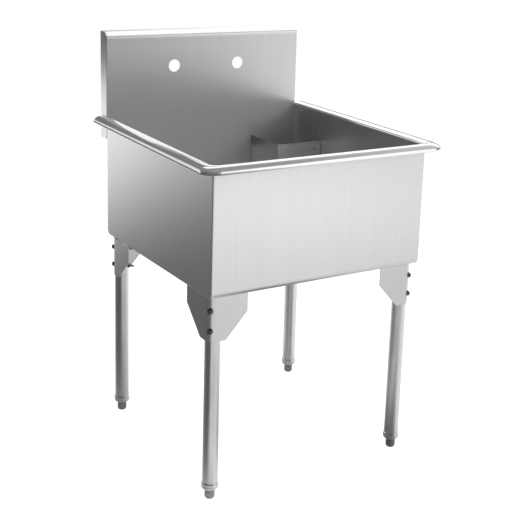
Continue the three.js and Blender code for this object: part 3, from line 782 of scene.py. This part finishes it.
def brushed_finish(name, base, roughness, anisotropy, streak=0.5):
    """Stainless sheet with its grain along the second coordinate of the piece's grain map: hair-fine
    scratches, broader streaks a centimetre wide, and a faint waviness of the whole sheet."""
    finish = Finish(name, 0.8)
    grain = finish.add("ShaderNodeUVMap", uv_map="grain").outputs[0]
    hair = finish.noise(grain, (2200, 14, 1), 3, 0.6)
    bands = finish.noise(grain, (260, 1.6, 1), 4, 0.7)
    cloud = finish.noise(finish.place, (5, 5, 5), 2, 0.5)
    tone = finish.blend(hair, 0.5, bands, 0.5)
    limits, swing = (0.3, 0.7), 0.04 * streak
    finish.tint(base, tone, limits, (1 - 0.12 * streak, 1 + 0.05 * streak))
    finish.roughen(tone, limits, (roughness + swing, roughness - swing))
    finish.emboss(finish.blend(hair, 0.05, cloud, 4.0), 0.0001, 0.35)
    finish.brush(anisotropy)
    return finish.material


def plate_finish(name, base):
    """Cut plate with a bead-blasted, slightly mottled face."""
    finish = Finish(name, 0.85)
    speckle = finish.noise(finish.place, (420, 420, 420), 4, 0.7)
    cloud = finish.noise(finish.place, (26, 26, 18), 3, 0.6)
    tone = finish.blend(speckle, 0.5, cloud, 0.5)
    finish.tint(base, tone, (0.35, 0.65), (0.98, 1.015))
    finish.roughen(tone, (0.3, 0.7), (0.29, 0.27))
    finish.emboss(speckle, 0.0001, 0.03)
    return finish.material


def polished_finish(name, base, roughness, ring=0.25, anisotropy=0.0):
    """Tube or plate polished round its axis: faint rings in height, a soft haze, and reflections drawn
    out along the axis."""
    finish = Finish(name, 1)
    rings = finish.noise(finish.place, (14, 14, 1100), 3, 0.6)
    haze = finish.noise(finish.place, (30, 30, 6), 3, 0.55)
    finish.tint(base, rings, (0.3, 0.7), (0.94, 1.03))
    finish.roughen(haze, (0.3, 0.7), (roughness * 0.85, roughness * 1.2))
    finish.emboss(rings, 0.00003, ring)
    quarter_turn = 0.25
    finish.shader.inputs["Anisotropic Rotation"].default_value = quarter_turn
    finish.brush(anisotropy)
    return finish.material


def coated_finish(name, base, roughness, metallic):
    """Dark or grey coated metal, or rubber: fine grit, and worn, paler patches."""
    finish = Finish(name, metallic)
    grit = finish.noise(finish.place, (1600, 1600, 1600), 3, 0.6)
    wear = finish.noise(finish.place, (140, 140, 140), 4, 0.65)
    finish.tint(base, wear, (0.35, 0.72), (0.9, 1.25))
    finish.roughen(wear, (0.35, 0.7), (roughness * 1.1, roughness * 0.9))
    finish.emboss(grit, 0.00005, 0.3)
    return finish.material


def make_finishes(settings):
    """Every finish of the sink by its name."""
    return {
        "sheet": brushed_finish("brushed_sheet", settings.steel, settings.sheet_roughness, 0.55),
        "rim": brushed_finish("polished_rim", settings.steel, 0.12, 0.2),
        "guard": brushed_finish("guard_sheet", settings.steel, 0.34, 0.6, streak=1.2),
        "plate": plate_finish("bracket_plate", settings.plate),
        "tube": polished_finish("polished_tube", settings.tube, 0.34, 0.15, 0.88),
        "fastener": coated_finish("bolt_steel", settings.fastener, 0.22, 1),
        "foot": coated_finish("foot_metal", settings.foot, 0.4, 1),
        "chrome": polished_finish("drain_chrome", settings.chrome, 0.08, 0.05),
        "rubber": coated_finish("seal_rubber", settings.rubber, 0.75, 0),
    }


FINISHES = {}

# ------------------------------------------------------------------ operators


class SinkOperator:
    """What every operator of the sink shares."""

    bl_options = {"REGISTER"}

    @property
    def sizes(self):
        """The sizes set in the sidebar."""
        return bpy.context.scene.sink_sizes


class SINK_OT_finishes(SinkOperator, bpy.types.Operator):
    """Make the steel, chrome and rubber finishes"""

    bl_idname = "sink.finishes"
    bl_label = "Finishes"

    def execute(self, context):
        FINISHES.update(make_finishes(context.scene.sink_finish))
        return {"FINISHED"}


class SINK_OT_bowl(SinkOperator, bpy.types.Operator):
    """Add the wrapped bowl sheet and its two end panels"""

    bl_idname = "sink.bowl"
    bl_label = "Bowl"

    def execute(self, context):
        sizes = self.sizes
        runs = ["bowl_front", "bowl_floor", "bowl_back", "backsplash"]
        add_piece("bowl_sheet", bowl_sheet_shape(sizes), "sheet", runs)
        path = rounded_path([*bowl_corners(sizes), (BACK_Y, WALL_TOP, 0)])
        for side, word in SIDES:
            shape = rolled_panel_shape(path, side, sizes.corner, sizes.sheet)
            add_piece(f"end_plate_{word}", shape, "sheet", [f"end_panel_{word}"])
        return {"FINISHED"}


class SINK_OT_returns(SinkOperator, bpy.types.Operator):
    """Add the backsplash's side returns"""

    bl_idname = "sink.returns"
    bl_label = "Backsplash returns"

    def execute(self, context):
        sizes = self.sizes
        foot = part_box("backsplash_return_left")[0][2]
        over_wall = WALL_TOP + sizes.seam
        path = rounded_path([*splash_corners(sizes, 0)[::-1], (BACK_Y - sizes.sheet, over_wall, 0)])
        lower_y = BACK_Y + sizes.seam
        extra = [(lower_y, over_wall), (lower_y, foot), (WALL_Y, foot)]
        for side, word in SIDES:
            shape = rolled_panel_shape(path, side, sizes.return_corner, sizes.sheet, extra)
            add_piece(f"return_{word}", shape, "sheet", [f"backsplash_return_{word}"])
        return {"FINISHED"}


class SINK_OT_rim(SinkOperator, bpy.types.Operator):
    """Add the rolled rim"""

    bl_idname = "sink.rim"
    bl_label = "Rolled rim"

    def execute(self, context):
        add_piece("rolled_rim", rim_shape(self.sizes), "rim", ["rim_roll"], edge=EDGE_BREAK)
        return {"FINISHED"}


class SINK_OT_legs(SinkOperator, bpy.types.Operator):
    """Add the leg tubes and their brackets"""

    bl_idname = "sink.legs"
    bl_label = "Legs and brackets"

    def execute(self, context):
        sizes = self.sizes
        wall, rounding = 0.0015, 0.0004
        for leg in LEGS:
            x, y, radius, low, high = leg_place(leg)
            tube = flat_ring(radius - wall, radius, low, high, rounding, rounding, 72)
            add_piece(f"tube_{leg}", at_place(tube, (x, y, 0)), "tube", [f"leg_tube_{leg}"])
            bracket = bracket_shape(leg, sizes)
            add_piece(f"bracket_{leg}", bracket, "plate", [f"leg_bracket_{leg}"], edge=EDGE_BREAK)
        return {"FINISHED"}


class SINK_OT_fasteners(SinkOperator, bpy.types.Operator):
    """Add the bracket bolts with their washers and nuts"""

    bl_idname = "sink.fasteners"
    bl_label = "Bracket bolts"

    def execute(self, context):
        seam = self.sizes.seam
        across_flats, head_height, nut_height, nut_bore = 0.0111, 0.0042, 0.0056, 0.00335
        bolt_radius, shank_radius, pitch, thread_depth, tip = 0.003175, 0.0031, 0.00127, 0.0005, -0.036
        washer_bore, washer_radius, washer_height = 0.0035, 0.0078, 0.0015
        shank_into_head, shank_past_nut, thread_past_nut = 0.001, 0.0008, 0.0004
        for leg, (side, end) in LEGS.items():
            x, y, radius, _low, _high = leg_place(leg)
            outward = (side * math.sqrt(0.5), end * math.sqrt(0.5), 0)
            washer_at = radius + 2 * seam + self.sizes.bracket
            washer_top = washer_at + washer_height
            head_at = washer_top + seam
            nut_at = -radius - seam
            nut_end = nut_at - nut_height
            bolt = joined(
                hexagon_block(across_flats, head_at, head_at + head_height),
                plain_rod(shank_radius, nut_end - shank_past_nut, head_at + shank_into_head),
                threaded_rod(bolt_radius, pitch, tip, nut_end - thread_past_nut, thread_depth))
            shapes = {
                "bolt": bolt,
                "washer": flat_ring(washer_bore, washer_radius, washer_at, washer_top, 0.0003, 0.0003, 40),
                "nut": hexagon_block(across_flats, nut_end, nut_at, nut_bore, True),
            }
            for row in ("upper", "lower"):
                low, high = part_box(f"nut_{leg}_{row}")
                place = (x, y, (low[2] + high[2]) / 2)
                for word, shape in shapes.items():
                    placed, node = at_place(shape, place, outward), f"{word}_{leg}_{row}"
                    add_piece(f"{word}_piece_{leg}_{row}", placed, "fastener", [node])
        return {"FINISHED"}


class SINK_OT_feet(SinkOperator, bpy.types.Operator):
    """Add the collars and the levelling feet"""

    bl_idname = "sink.feet"
    bl_label = "Levelling feet"

    def execute(self, context):
        for leg in LEGS:
            end, side = leg.split("_")
            body = f"foot_{end[0]}{side[0]}"
            x, y, radius, low, _high = leg_place(leg)
            collar_low, collar_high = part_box(f"collar_{leg}")
            foot_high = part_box(f"foot_{leg}")[1]
            collar = self.collar(radius, collar_low[2], low, collar_high[2], collar_high[0] - x)
            add_piece(f"collar_piece_{leg}", at_place(collar, (x, y, 0)), "tube", [f"collar_{leg}"])
            foot = self.foot(foot_high[0] - x, collar_low[2] - self.sizes.seam, foot_high[2])
            add_piece(
                f"foot_piece_{leg}", at_place(foot, (x, y, 0)), "foot", [f"foot_{leg}"], body)
        return {"FINISHED"}

    def collar(self, tube, low, shoulder, high, wide):
        """Turned collar: bore, rounded underside, band with a groove, shoulder and the plug above it."""
        bore, narrow, plug = 0.00665, 0.014, tube - 0.0018
        shoulder -= self.sizes.seam
        band = shoulder - 0.010
        return ring_shape([
            (bore, high, 0.0006), (bore, low, 0.0008), (narrow, low, 0.0012),
            (wide, low + 0.0005, (band - low) * 0.82), (wide, band + 0.0008, 0),
            (wide - 0.0005, band + 0.0014, 0), (wide, band + 0.002, 0),
            (wide, shoulder, 0.0012), (plug, shoulder, 0), (plug, high, 0.0008)], 72)

    def foot(self, radius, top, stud_top):
        """Turned bullet foot: a flat tip, a round nose and a straight body, on a threaded stud."""
        tip, nose_height, groove = 0.007, 0.008, 0.0012
        stud_radius, pitch, thread_depth = 0.0063, 0.00195, 0.0008
        turn = np.linspace(0, math.pi / 2, 9)
        nose = paired(tip + (radius - tip) * np.sin(turn), nose_height * (1 - np.cos(turn)))
        waist = np.array([
            (radius, top - 0.0068), (radius - groove, top - 0.006), (radius - groove, top - 0.0045),
            (radius, top - 0.0037), (radius, top - 0.0008), (radius - 0.0008, top), (0, top)])
        body = turned_surface(np.concatenate([[(0, 0)], nose, waist]), 64)
        return joined(body, threaded_rod(stud_radius, pitch, top - 0.002, stud_top, thread_depth, 28))


class SINK_OT_guard(SinkOperator, bpy.types.Operator):
    """Add the perforated corner guard"""

    bl_idname = "sink.guard"
    bl_label = "Corner guard"

    def execute(self, context):
        add_piece("guard_plate", guard_shape(self.sizes), "guard", ["corner_guard"], "guard")
        return {"FINISHED"}


class SINK_OT_drain(SinkOperator, bpy.types.Operator):
    """Add the drain, its strainer, seals, nuts and tailpiece"""

    bl_idname = "sink.drain"
    bl_label = "Drain"

    def execute(self, context):
        place = drain_place(self.sizes)
        axis = drain_axis(self.sizes)
        for name, nodes, finish, slot, body, shape in self.parts():
            add_piece(name, at_place(shape, place, axis), finish, nodes.split(), body)
        return {"FINISHED"}

    def parts(self):
        """Every piece of the drain in its own frame, whose zero is the floor's upper face."""
        seam = self.sizes.seam
        throat, outlet, seal_bore, flange = 0.027, 0.0182, 0.0303, 0.043
        gasket_height, ring_height, washer_height, lip_height = 0.003, 0.0012, 0.0016, 0.002
        tail_radius, tail_bore, tail_lip, tail_length = 0.01905, 0.01775, 0.0225, 0.110
        under = -self.sizes.sheet - seam
        seat = -0.031 - seam
        outlet_top = seat - 0.009
        outlet_bottom = outlet_top - 0.020
        ring_top = under - gasket_height - seam
        nut_top = ring_top - ring_height - seam
        washer_top = outlet_bottom - seam
        tail_top = washer_top - washer_height - seam
        lip = tail_top - lip_height
        body = ring_shape([
            (flange, seam, 0.0003), (flange, seam + 0.0012, 0.0006), (0.040, seam + 0.0024, 0.002),
            (0.029, seam + 0.0012, 0.002), (throat, -0.0024, 0.002), (throat, seat, 0.0005),
            (0.023, seat, 0.0008), (outlet, outlet_top, 0.003), (outlet, outlet_bottom, 0.0004),
            (0.023, outlet_bottom, 0.0006), (0.023, outlet_top - 0.003, 0.001),
            (0.030, seat - 0.003, 0.002), (0.030, seam, 0.0003)], 96)
        gasket = flat_ring(seal_bore, 0.040, under - gasket_height, under, 0.0004, 0.0008)
        slip_ring = flat_ring(seal_bore, 0.039, ring_top - ring_height, ring_top, 0.0002, 0.0003)
        locknut = lobed_ring(seal_bore, 0.038, 0.003, 8, nut_top - 0.009, nut_top)
        tail_washer = flat_ring(tail_bore, tail_lip, washer_top - washer_height, washer_top, 0.0003, 0.0004)
        tailpiece = ring_shape([
            (tail_lip, tail_top, 0.0004), (tail_lip, lip, 0.0004),
            (tail_radius, lip, 0.0008), (tail_radius, tail_top - tail_length, 0.0003),
            (tail_bore, tail_top - tail_length, 0.0003), (tail_bore, tail_top, 0.0008)], 72)
        strainer = self.strainer(seat + seam)
        coupling = self.coupling(outlet_bottom + 0.012, lip - seam)
        return [
            ("drain_flange", "drain_body", "rim", "stainless", "sink", body),
            ("gasket_piece", "drain_gasket", "rubber", "rubber_seal", "sink", gasket),
            ("slip_ring_piece", "drain_slip_ring", "tube", "stainless", "sink", slip_ring),
            ("locknut_piece", "drain_locknut", "chrome", "chrome_plate", "sink", locknut),
            ("strainer_basket", "drain_strainer strainer_knob", "rim", "stainless", "strainer", strainer),
            ("tail_washer_piece", "tailpiece_washer", "rubber", "rubber_seal", "sink", tail_washer),
            ("tailpiece_tube", "tailpiece", "chrome", "chrome_plate", "sink", tailpiece),
            ("coupling_piece", "coupling_nut", "chrome", "chrome_plate", "sink", coupling),
        ]

    def strainer(self, bottom):
        """Cup wall, perforated floor, and a post with a knob."""
        radius, sheet, top = 0.0266, 0.0012, -0.0024
        post, knob, knob_top = 0.003, 0.008, 0.007
        wall = ring_shape([
            (radius, bottom, 0.0006), (radius, top, 0.0004), (radius - sheet, top, 0.0004),
            (radius - sheet, bottom, 0.0002)], 80)
        floor = strainer_floor(radius - sheet / 2, bottom, bottom + sheet)
        foot = bottom + sheet / 2
        handle = turned_surface(rounded_path([
            (0, foot, 0), (post, foot, 0), (post, top - 0.006, 0.001),
            (knob, top - 0.003, 0.0008), (knob_top, top, 0.0012), (0, top, 0)]), 48)
        return joined(wall, floor, handle)

    def coupling(self, top, lip):
        """Hexagon nut with a thread bore above its lip and a narrower bore through the lip."""
        across_flats, thread, bore = 0.054, 0.0233, 0.01935
        bottom = lip - 0.0025
        angles = full_turn(96)
        sides = hexagon_rows(angles, across_flats, bottom, top, True, 0.98)
        inside = [(bore, bottom), (bore, lip), (thread, lip), (thread, top)]
        return turned_rows([(thread, top), *sides, *inside], angles)


# ------------------------------------------------------------------ studio

PHOTO_SIZE = 512
# solved on edges and points of the photograph, in metres, degrees and its pixels
CAMERA_PLACE = (-1.3951, -2.3828, 1.4268)
CAMERA_YAW = math.radians(31.699)
CAMERA_PITCH = math.radians(13.134)
CAMERA_ROLL = math.radians(1.9386)
FOCAL_PIXELS = 1057.92
MIDDLE_PIXEL = (283.54, 158.42)
SENSOR = 36.0


def add_camera():
    """The camera of the photograph: its place, its turn and the pixel on its axis."""
    yaw, pitch, roll = CAMERA_YAW, CAMERA_PITCH, CAMERA_ROLL
    forward = Vector((math.sin(yaw) * math.cos(pitch), math.cos(yaw) * math.cos(pitch), -math.sin(pitch)))
    level = Vector((math.cos(yaw), -math.sin(yaw), 0))
    upward = level.cross(forward)
    right = math.cos(roll) * level + math.sin(roll) * upward
    top = -math.sin(roll) * level + math.cos(roll) * upward
    data = bpy.data.cameras.new("camera")
    data.sensor_width = SENSOR
    data.lens = FOCAL_PIXELS * SENSOR / PHOTO_SIZE
    data.shift_x = (PHOTO_SIZE / 2 - MIDDLE_PIXEL[0]) / PHOTO_SIZE
    data.shift_y = (MIDDLE_PIXEL[1] - PHOTO_SIZE / 2) / PHOTO_SIZE
    data.clip_end = 50
    camera = bpy.data.objects.new("camera", data)
    turn = Matrix((right, top, -forward)).transposed()
    camera.matrix_world = Matrix.Translation(CAMERA_PLACE) @ turn.to_4x4()
    bpy.context.scene.collection.objects.link(camera)
    bpy.context.scene.camera = camera


def add_softbox(name, place, target, size, radiance):
    """A rectangular lamp of an even radiance, aimed at a point, that only soft light sees."""
    data = bpy.data.lights.new(name, "AREA")
    data.shape = "RECTANGLE"
    data.size, data.size_y = size
    data.energy = radiance * math.pi * size[0] * size[1]
    lamp = bpy.data.objects.new(name, data)
    aim = Vector(target) - Vector(place)
    lamp.matrix_world = Matrix.Translation(place) @ aim.to_track_quat("-Z", "Y").to_matrix().to_4x4()
    lamp.visible_camera = False
    lamp.visible_glossy = False
    bpy.context.scene.collection.objects.link(lamp)


def ray_kinds(nodes):
    """Sockets that are 1 for camera rays, and for glossy and transmission rays."""
    path = nodes.add("ShaderNodeLightPath")
    gloss = nodes.math("MAXIMUM", path.outputs["Is Glossy Ray"], path.outputs["Is Transmission Ray"])
    return path.outputs["Is Camera Ray"], gloss


SOFT_LIGHT = 0.3


def add_world():
    """White for the eye, gloss and glass, and an even soft grey light otherwise."""
    world = bpy.data.worlds.new("studio")
    world.use_nodes = True
    bpy.context.scene.world = world
    nodes = NodeTree(world.node_tree)
    output = nodes.add("ShaderNodeOutputWorld")
    sky = nodes.add("ShaderNodeBackground")
    sky.inputs["Color"].default_value = (1, 1, 1, 1)
    seen = nodes.math("MAXIMUM", *ray_kinds(nodes))
    nodes.join(nodes.span(seen, 0, 1, SOFT_LIGHT, 1.0, False), sky.inputs["Strength"])
    nodes.join(sky.outputs[0], output.inputs["Surface"])


STUDIO_RADIUS = 6.5
STUDIO_HEIGHT = 4.6


def eased(value, low, high):
    """0 below low and 1 above high, with a smooth rise between."""
    share = np.clip((value - low) / (high - low), 0, 1)
    return share * share * (3 - 2 * share)


def band(value, rise, fall):
    """1 between a range of rise and a range of fall, 0 outside them, with smooth edges."""
    return eased(value, *rise) * (1 - eased(value, *fall))


def floor_glow(x, y):
    """How bright gloss sees the floor, as products of eased bands over metres, where 1 is white: painted
    light and shade in place of the floor's lighting. It is brighter far off, with a painted pool of light
    in front on the right, painted shade in front of the right legs and far in front, painted shadow at the
    foot of the front wall and under the bowl, and on the left a near floor painted dark as shade that turns
    white behind the sink."""
    half = 0.3
    distance = np.hypot(np.maximum(abs(x) - half, 0), np.maximum(abs(y) - half, 0))
    # painted pool of light on the floor, in front on the right
    painted_light_pool = np.exp(-((x - 1.5) / 0.7) ** 2 - ((y + 2.9) / 1.0) ** 2)
    # painted shade in front of the right legs and far in front
    right_front = eased(x / np.maximum(-y, 0.3), 0.52, 0.8) * eased(-y, 0.6, 1.4)
    far_front = eased(-y, 3.3, 4.8) * (1 - eased(x, 2.2, 3.2))
    # painted shade at the foot of the front wall, and painted shadow under the bowl
    painted_shade_at_wall_foot = band(-y, (0.0, 0.15), (0.45, 1.0)) * band(x, (-0.12, 0.1), (0.2, 0.45))
    painted_shadow_under_bowl = (1 - eased(distance, 0.0, 0.12)) * eased(y, -0.3, 0.0)
    open_floor = 0.74 + 0.31 * eased(distance, 1.2, 2.6) + 0.45 * painted_light_pool
    open_floor *= (1 - 0.3 * right_front) * (1 - 0.7 * far_front)
    open_floor *= (1 - 0.88 * painted_shade_at_wall_foot) * (1 - 0.5 * painted_shadow_under_bowl)
    # near floor on the left painted dark as shade, turning white behind the sink
    painted_shade_left_floor = 0.11 + 1.75 * eased(y + 1.12 * x, 0.35, 2.0)
    left_edge = -0.28 + np.minimum(y + 0.28, 0)
    return open_floor + (painted_shade_left_floor - open_floor) * eased(left_edge - x, -0.15, 0.3)


def wall_glow(azimuth, height):
    """How bright gloss sees the wall by azimuth, in degrees clockwise from behind the sink, and height:
    a dim wall that is light low on the right, and three white stretches above it."""
    low_wall = 0.05 + 0.95 * band(azimuth, (38, 70), (142, 157)) + 0.6 * band(azimuth, (60, 90), (115, 138))
    high_wall = 0.15 - 0.1 * dark_side(azimuth)
    dim_wall = low_wall + (high_wall - low_wall) * eased(height, 1.4, 2.4)
    back_left = band(azimuth, (298, 310), (336, 345)) * eased(height, 1.0, 1.6)
    front = 1.2 * front_strip(azimuth) * eased(height, 1.0, 1.4)
    high_right = 1.1 * band(azimuth, (18, 26), (60, 90)) * eased(height, 2.1, 2.6)
    return np.maximum.reduce([dim_wall, back_left, front, high_right])


def ceiling_glow(azimuth, inward, x):
    """How bright gloss sees the ceiling, by azimuth, share of its radius and place across."""
    front = front_strip(azimuth) * eased(inward, 0.4, 0.55)
    left = dark_side(azimuth) * eased(inward, 0.1, 0.4)
    right = eased(x, 2.1, 3.3) * (1 - eased(inward, 0.85, 1.0))
    return 0.2 + front - 0.13 * left + 0.3 * right


def dark_side(azimuth):
    """The unlit side of the studio, to the left of the camera, by azimuth in degrees."""
    return band(azimuth, (165, 185), (290, 310))


def front_strip(azimuth):
    """The white stretch of wall and ceiling in front of the sink, by azimuth in degrees."""
    return band(azimuth, (115, 135), (149, 158))


FLOOR_WHITE = 0.92
FLOOR_TONE = 0.42


def glow_material(name, is_floor, one_sided=False):
    """A surface whose glow in reflections is computed for each point. The floor is also a soft white for
    the eye, which keeps the shadows that fall on it. A one-sided surface is clear from behind."""
    material = bpy.data.materials.new(name)
    material.use_nodes = True
    material.cycles.emission_sampling = "NONE"
    nodes = NodeTree(material.node_tree)
    output = nodes.add("ShaderNodeOutputMaterial")
    glow = nodes.add("ShaderNodeEmission")
    computed = nodes.add("ShaderNodeAttribute", attribute_name="glow").outputs["Fac"]
    camera, gloss = ray_kinds(nodes)
    strength = nodes.math("MULTIPLY", computed, gloss)
    shown = glow.outputs[0]
    if is_floor:
        strength = nodes.math("ADD", strength, nodes.math("MULTIPLY", camera, FLOOR_WHITE))
        diffuse = nodes.add("ShaderNodeBsdfDiffuse")
        tone = nodes.math("MULTIPLY", nodes.math("SUBTRACT", 1.0, gloss), FLOOR_TONE)
        nodes.join(tone, diffuse.inputs["Color"])
        both = nodes.add("ShaderNodeAddShader")
        nodes.join(diffuse.outputs[0], both.inputs[0])
        nodes.join(shown, both.inputs[1])
        shown = both.outputs[0]
    if one_sided:
        sides = nodes.add("ShaderNodeMixShader")
        nodes.join(nodes.add("ShaderNodeNewGeometry").outputs["Backfacing"], sides.inputs[0])
        nodes.join(shown, sides.inputs[1])
        nodes.join(nodes.add("ShaderNodeBsdfTransparent").outputs[0], sides.inputs[2])
        shown = sides.outputs[0]
    nodes.join(strength, glow.inputs["Strength"])
    nodes.join(shown, output.inputs["Surface"])
    return material


def glowing_grid(name, points, glow, closed_columns, is_floor=False, one_sided=False):
    """A stage surface from a grid of points, each with its glow. Only the floor is seen by the camera and
    takes soft light; the rest shows in reflections alone."""
    rows, columns = points.shape[:2]
    faces = grid_quads(rows, columns, closed_columns)
    mesh = bpy.data.meshes.new(name)
    mesh.from_pydata(points.reshape(-1, 3).tolist(), [], faces.tolist())
    mesh.materials.append(glow_material(name, is_floor, one_sided))
    values = mesh.attributes.new("glow", "FLOAT", "POINT")
    values.data.foreach_set("value", np.ascontiguousarray(glow, dtype=np.float32).ravel())
    piece = bpy.data.objects.new(name, mesh)
    bpy.context.scene.collection.objects.link(piece)
    for kind in () if is_floor else ("camera", "diffuse", "shadow", "volume_scatter"):
        setattr(piece, f"visible_{kind}", False)


def add_floor():
    """A round floor: radius by azimuth, closer rings near the sink."""
    azimuth = full_turn(144)
    radius = STUDIO_RADIUS * np.linspace(1, 0.01, 60)[:, None] ** 1.5
    x, y = radius * np.sin(azimuth), radius * np.cos(azimuth)
    # the floor's glow in reflections is painted light and shade, from floor_glow
    glowing_grid("studio_floor", paired(x, y, 0), floor_glow(x, y), True, is_floor=True)


def add_walls():
    """A round wall under a flat ceiling, seen in gloss only."""
    azimuth = full_turn(180)
    degrees = np.degrees(azimuth)
    height = np.linspace(0, STUDIO_HEIGHT, 60)[:, None]
    inward = np.linspace(1, 0.01, 24)[1:, None]
    x, y = STUDIO_RADIUS * np.sin(azimuth), STUDIO_RADIUS * np.cos(azimuth)
    points = np.concatenate([paired(x, y, height), paired(inward * x, inward * y, STUDIO_HEIGHT)])
    glow = np.concatenate([wall_glow(degrees, height), ceiling_glow(degrees, inward, inward * x)])
    glowing_grid("studio_wall", points, glow, True)


def add_panel(name, middle, across, along, inner, rim, soft, one_sided):
    """A flat panel between two half-lengths about its middle, whose glow falls from the inner to the rim
    value over a soft edge. A one-sided panel shows on the side that across x along points to."""
    share = np.linspace(-1, 1, 33)
    across, along = np.array(across), np.array(along)
    points = middle + share[:, None, None] * across + share[None, :, None] * along
    fade_across, fade_along = (
        1 - eased(abs(share), 1 - soft / np.linalg.norm(half), 1) for half in (across, along))
    glow = rim + (inner - rim) * fade_across[:, None] * fade_along
    glowing_grid(name, points, glow, False, one_sided=one_sided)


# name, middle, half across, half along, inner glow, rim glow, soft edge, one-sided
STUDIO_PANELS = (
    ("right_panel", (1.3, 1.68, 1.5), (1.1, 0, 0), (0, 1.52, 0), 1.5, 0.2, 0.08, False),
    ("ledge_panel", (0.55, 0.35, 1.5), (0.8, 0, 0), (0, 0.17, 0), 1.5, 0.2, 0.04, False),
    # a bright card just off the backsplash above the rim, seen in gloss only: a painted reflection on the
    # rim
    ("painted_reflection_card", (-0.1, 0.312, 0.945), (0.19, 0, 0), (0, 0, 0.095), 1.1, 0.2, 0.01, True),
    # dark cards just off the bowl's left and back walls and behind the guard, seen in gloss only: painted
    # shade in the bowl's reflections
    ("left_painted_shade_card", (-0.303, 0, 0.705), (0, 0.3, 0), (0, 0, 0.145), 0.03, 0.1, 0.05, True),
    ("back_painted_shade_card", (0.06, 0.314, 0.705), (0.24, 0, 0), (0, 0, 0.145), 0.03, 0.1, 0.03, True),
    ("guard_painted_shade_card", (0.097, 0.3125, 0.65), (0.057, 0, 0), (0, 0, 0.09), 0.14, 0.1, 0.01, True),
)
# name, place, aim, width and height, radiance
STUDIO_LAMPS = (
    ("overhead_lamp", (0.9, 0.6, 3.0), (0.1, 0, 0.6), (2.4, 2.4), 2.0),
    ("front_lamp", (1.9, -3.4, 1.9), (0, 0, 0.75), (1.8, 1.2), 15.0),
)


class SINK_OT_stage(SinkOperator, bpy.types.Operator):
    """Add the camera, the white floor, the studio's walls and panels, a card of painted reflection and
    flags of painted shade at the sink, and lamps
    """

    bl_idname = "sink.stage"
    bl_label = "Studio"

    def execute(self, context):
        context.scene.view_settings.view_transform = "Standard"
        add_camera()
        add_world()
        add_floor()
        add_walls()
        for panel in STUDIO_PANELS:
            add_panel(*panel)
        for lamp in STUDIO_LAMPS:
            add_softbox(*lamp)
        return {"FINISHED"}


class SINK_PT_panel(bpy.types.Panel):
    """The sink's sizes, finishes and steps"""

    bl_label = "Laundry sink"
    bl_idname = "SINK_PT_panel"
    bl_space_type = "VIEW_3D"
    bl_region_type = "UI"
    bl_category = "Sink"

    def draw(self, context):
        column = self.layout.column()
        for step in STEPS:
            column.operator(step.bl_idname)
        for group in (context.scene.sink_sizes, context.scene.sink_finish):
            for name in group.bl_rna.properties.keys():
                if name not in {"rna_type", "name"}:
                    column.prop(group, name)


STEPS = (
    SINK_OT_stage,
    SINK_OT_finishes,
    SINK_OT_bowl,
    SINK_OT_returns,
    SINK_OT_rim,
    SINK_OT_legs,
    SINK_OT_fasteners,
    SINK_OT_feet,
    SINK_OT_guard,
    SINK_OT_drain,
)
CLASSES = (SinkSizes, SinkFinish, *STEPS, SINK_PT_panel)


def register():
    """Adds the classes and the sidebar's settings."""
    for item in CLASSES:
        bpy.utils.register_class(item)
    bpy.types.Scene.sink_sizes = PointerProperty(type=SinkSizes)
    bpy.types.Scene.sink_finish = PointerProperty(type=SinkFinish)


def unregister():
    """Takes the settings and the classes away again."""
    del bpy.types.Scene.sink_finish
    del bpy.types.Scene.sink_sizes
    for item in reversed(CLASSES):
        bpy.utils.unregister_class(item)


def main():
    """Builds the dressed sink and its studio, step by step."""
    register()
    for step in STEPS:
        group, name = step.bl_idname.split(".")
        getattr(getattr(bpy.ops, group), name)()


if __name__ == "__main__":
    main()
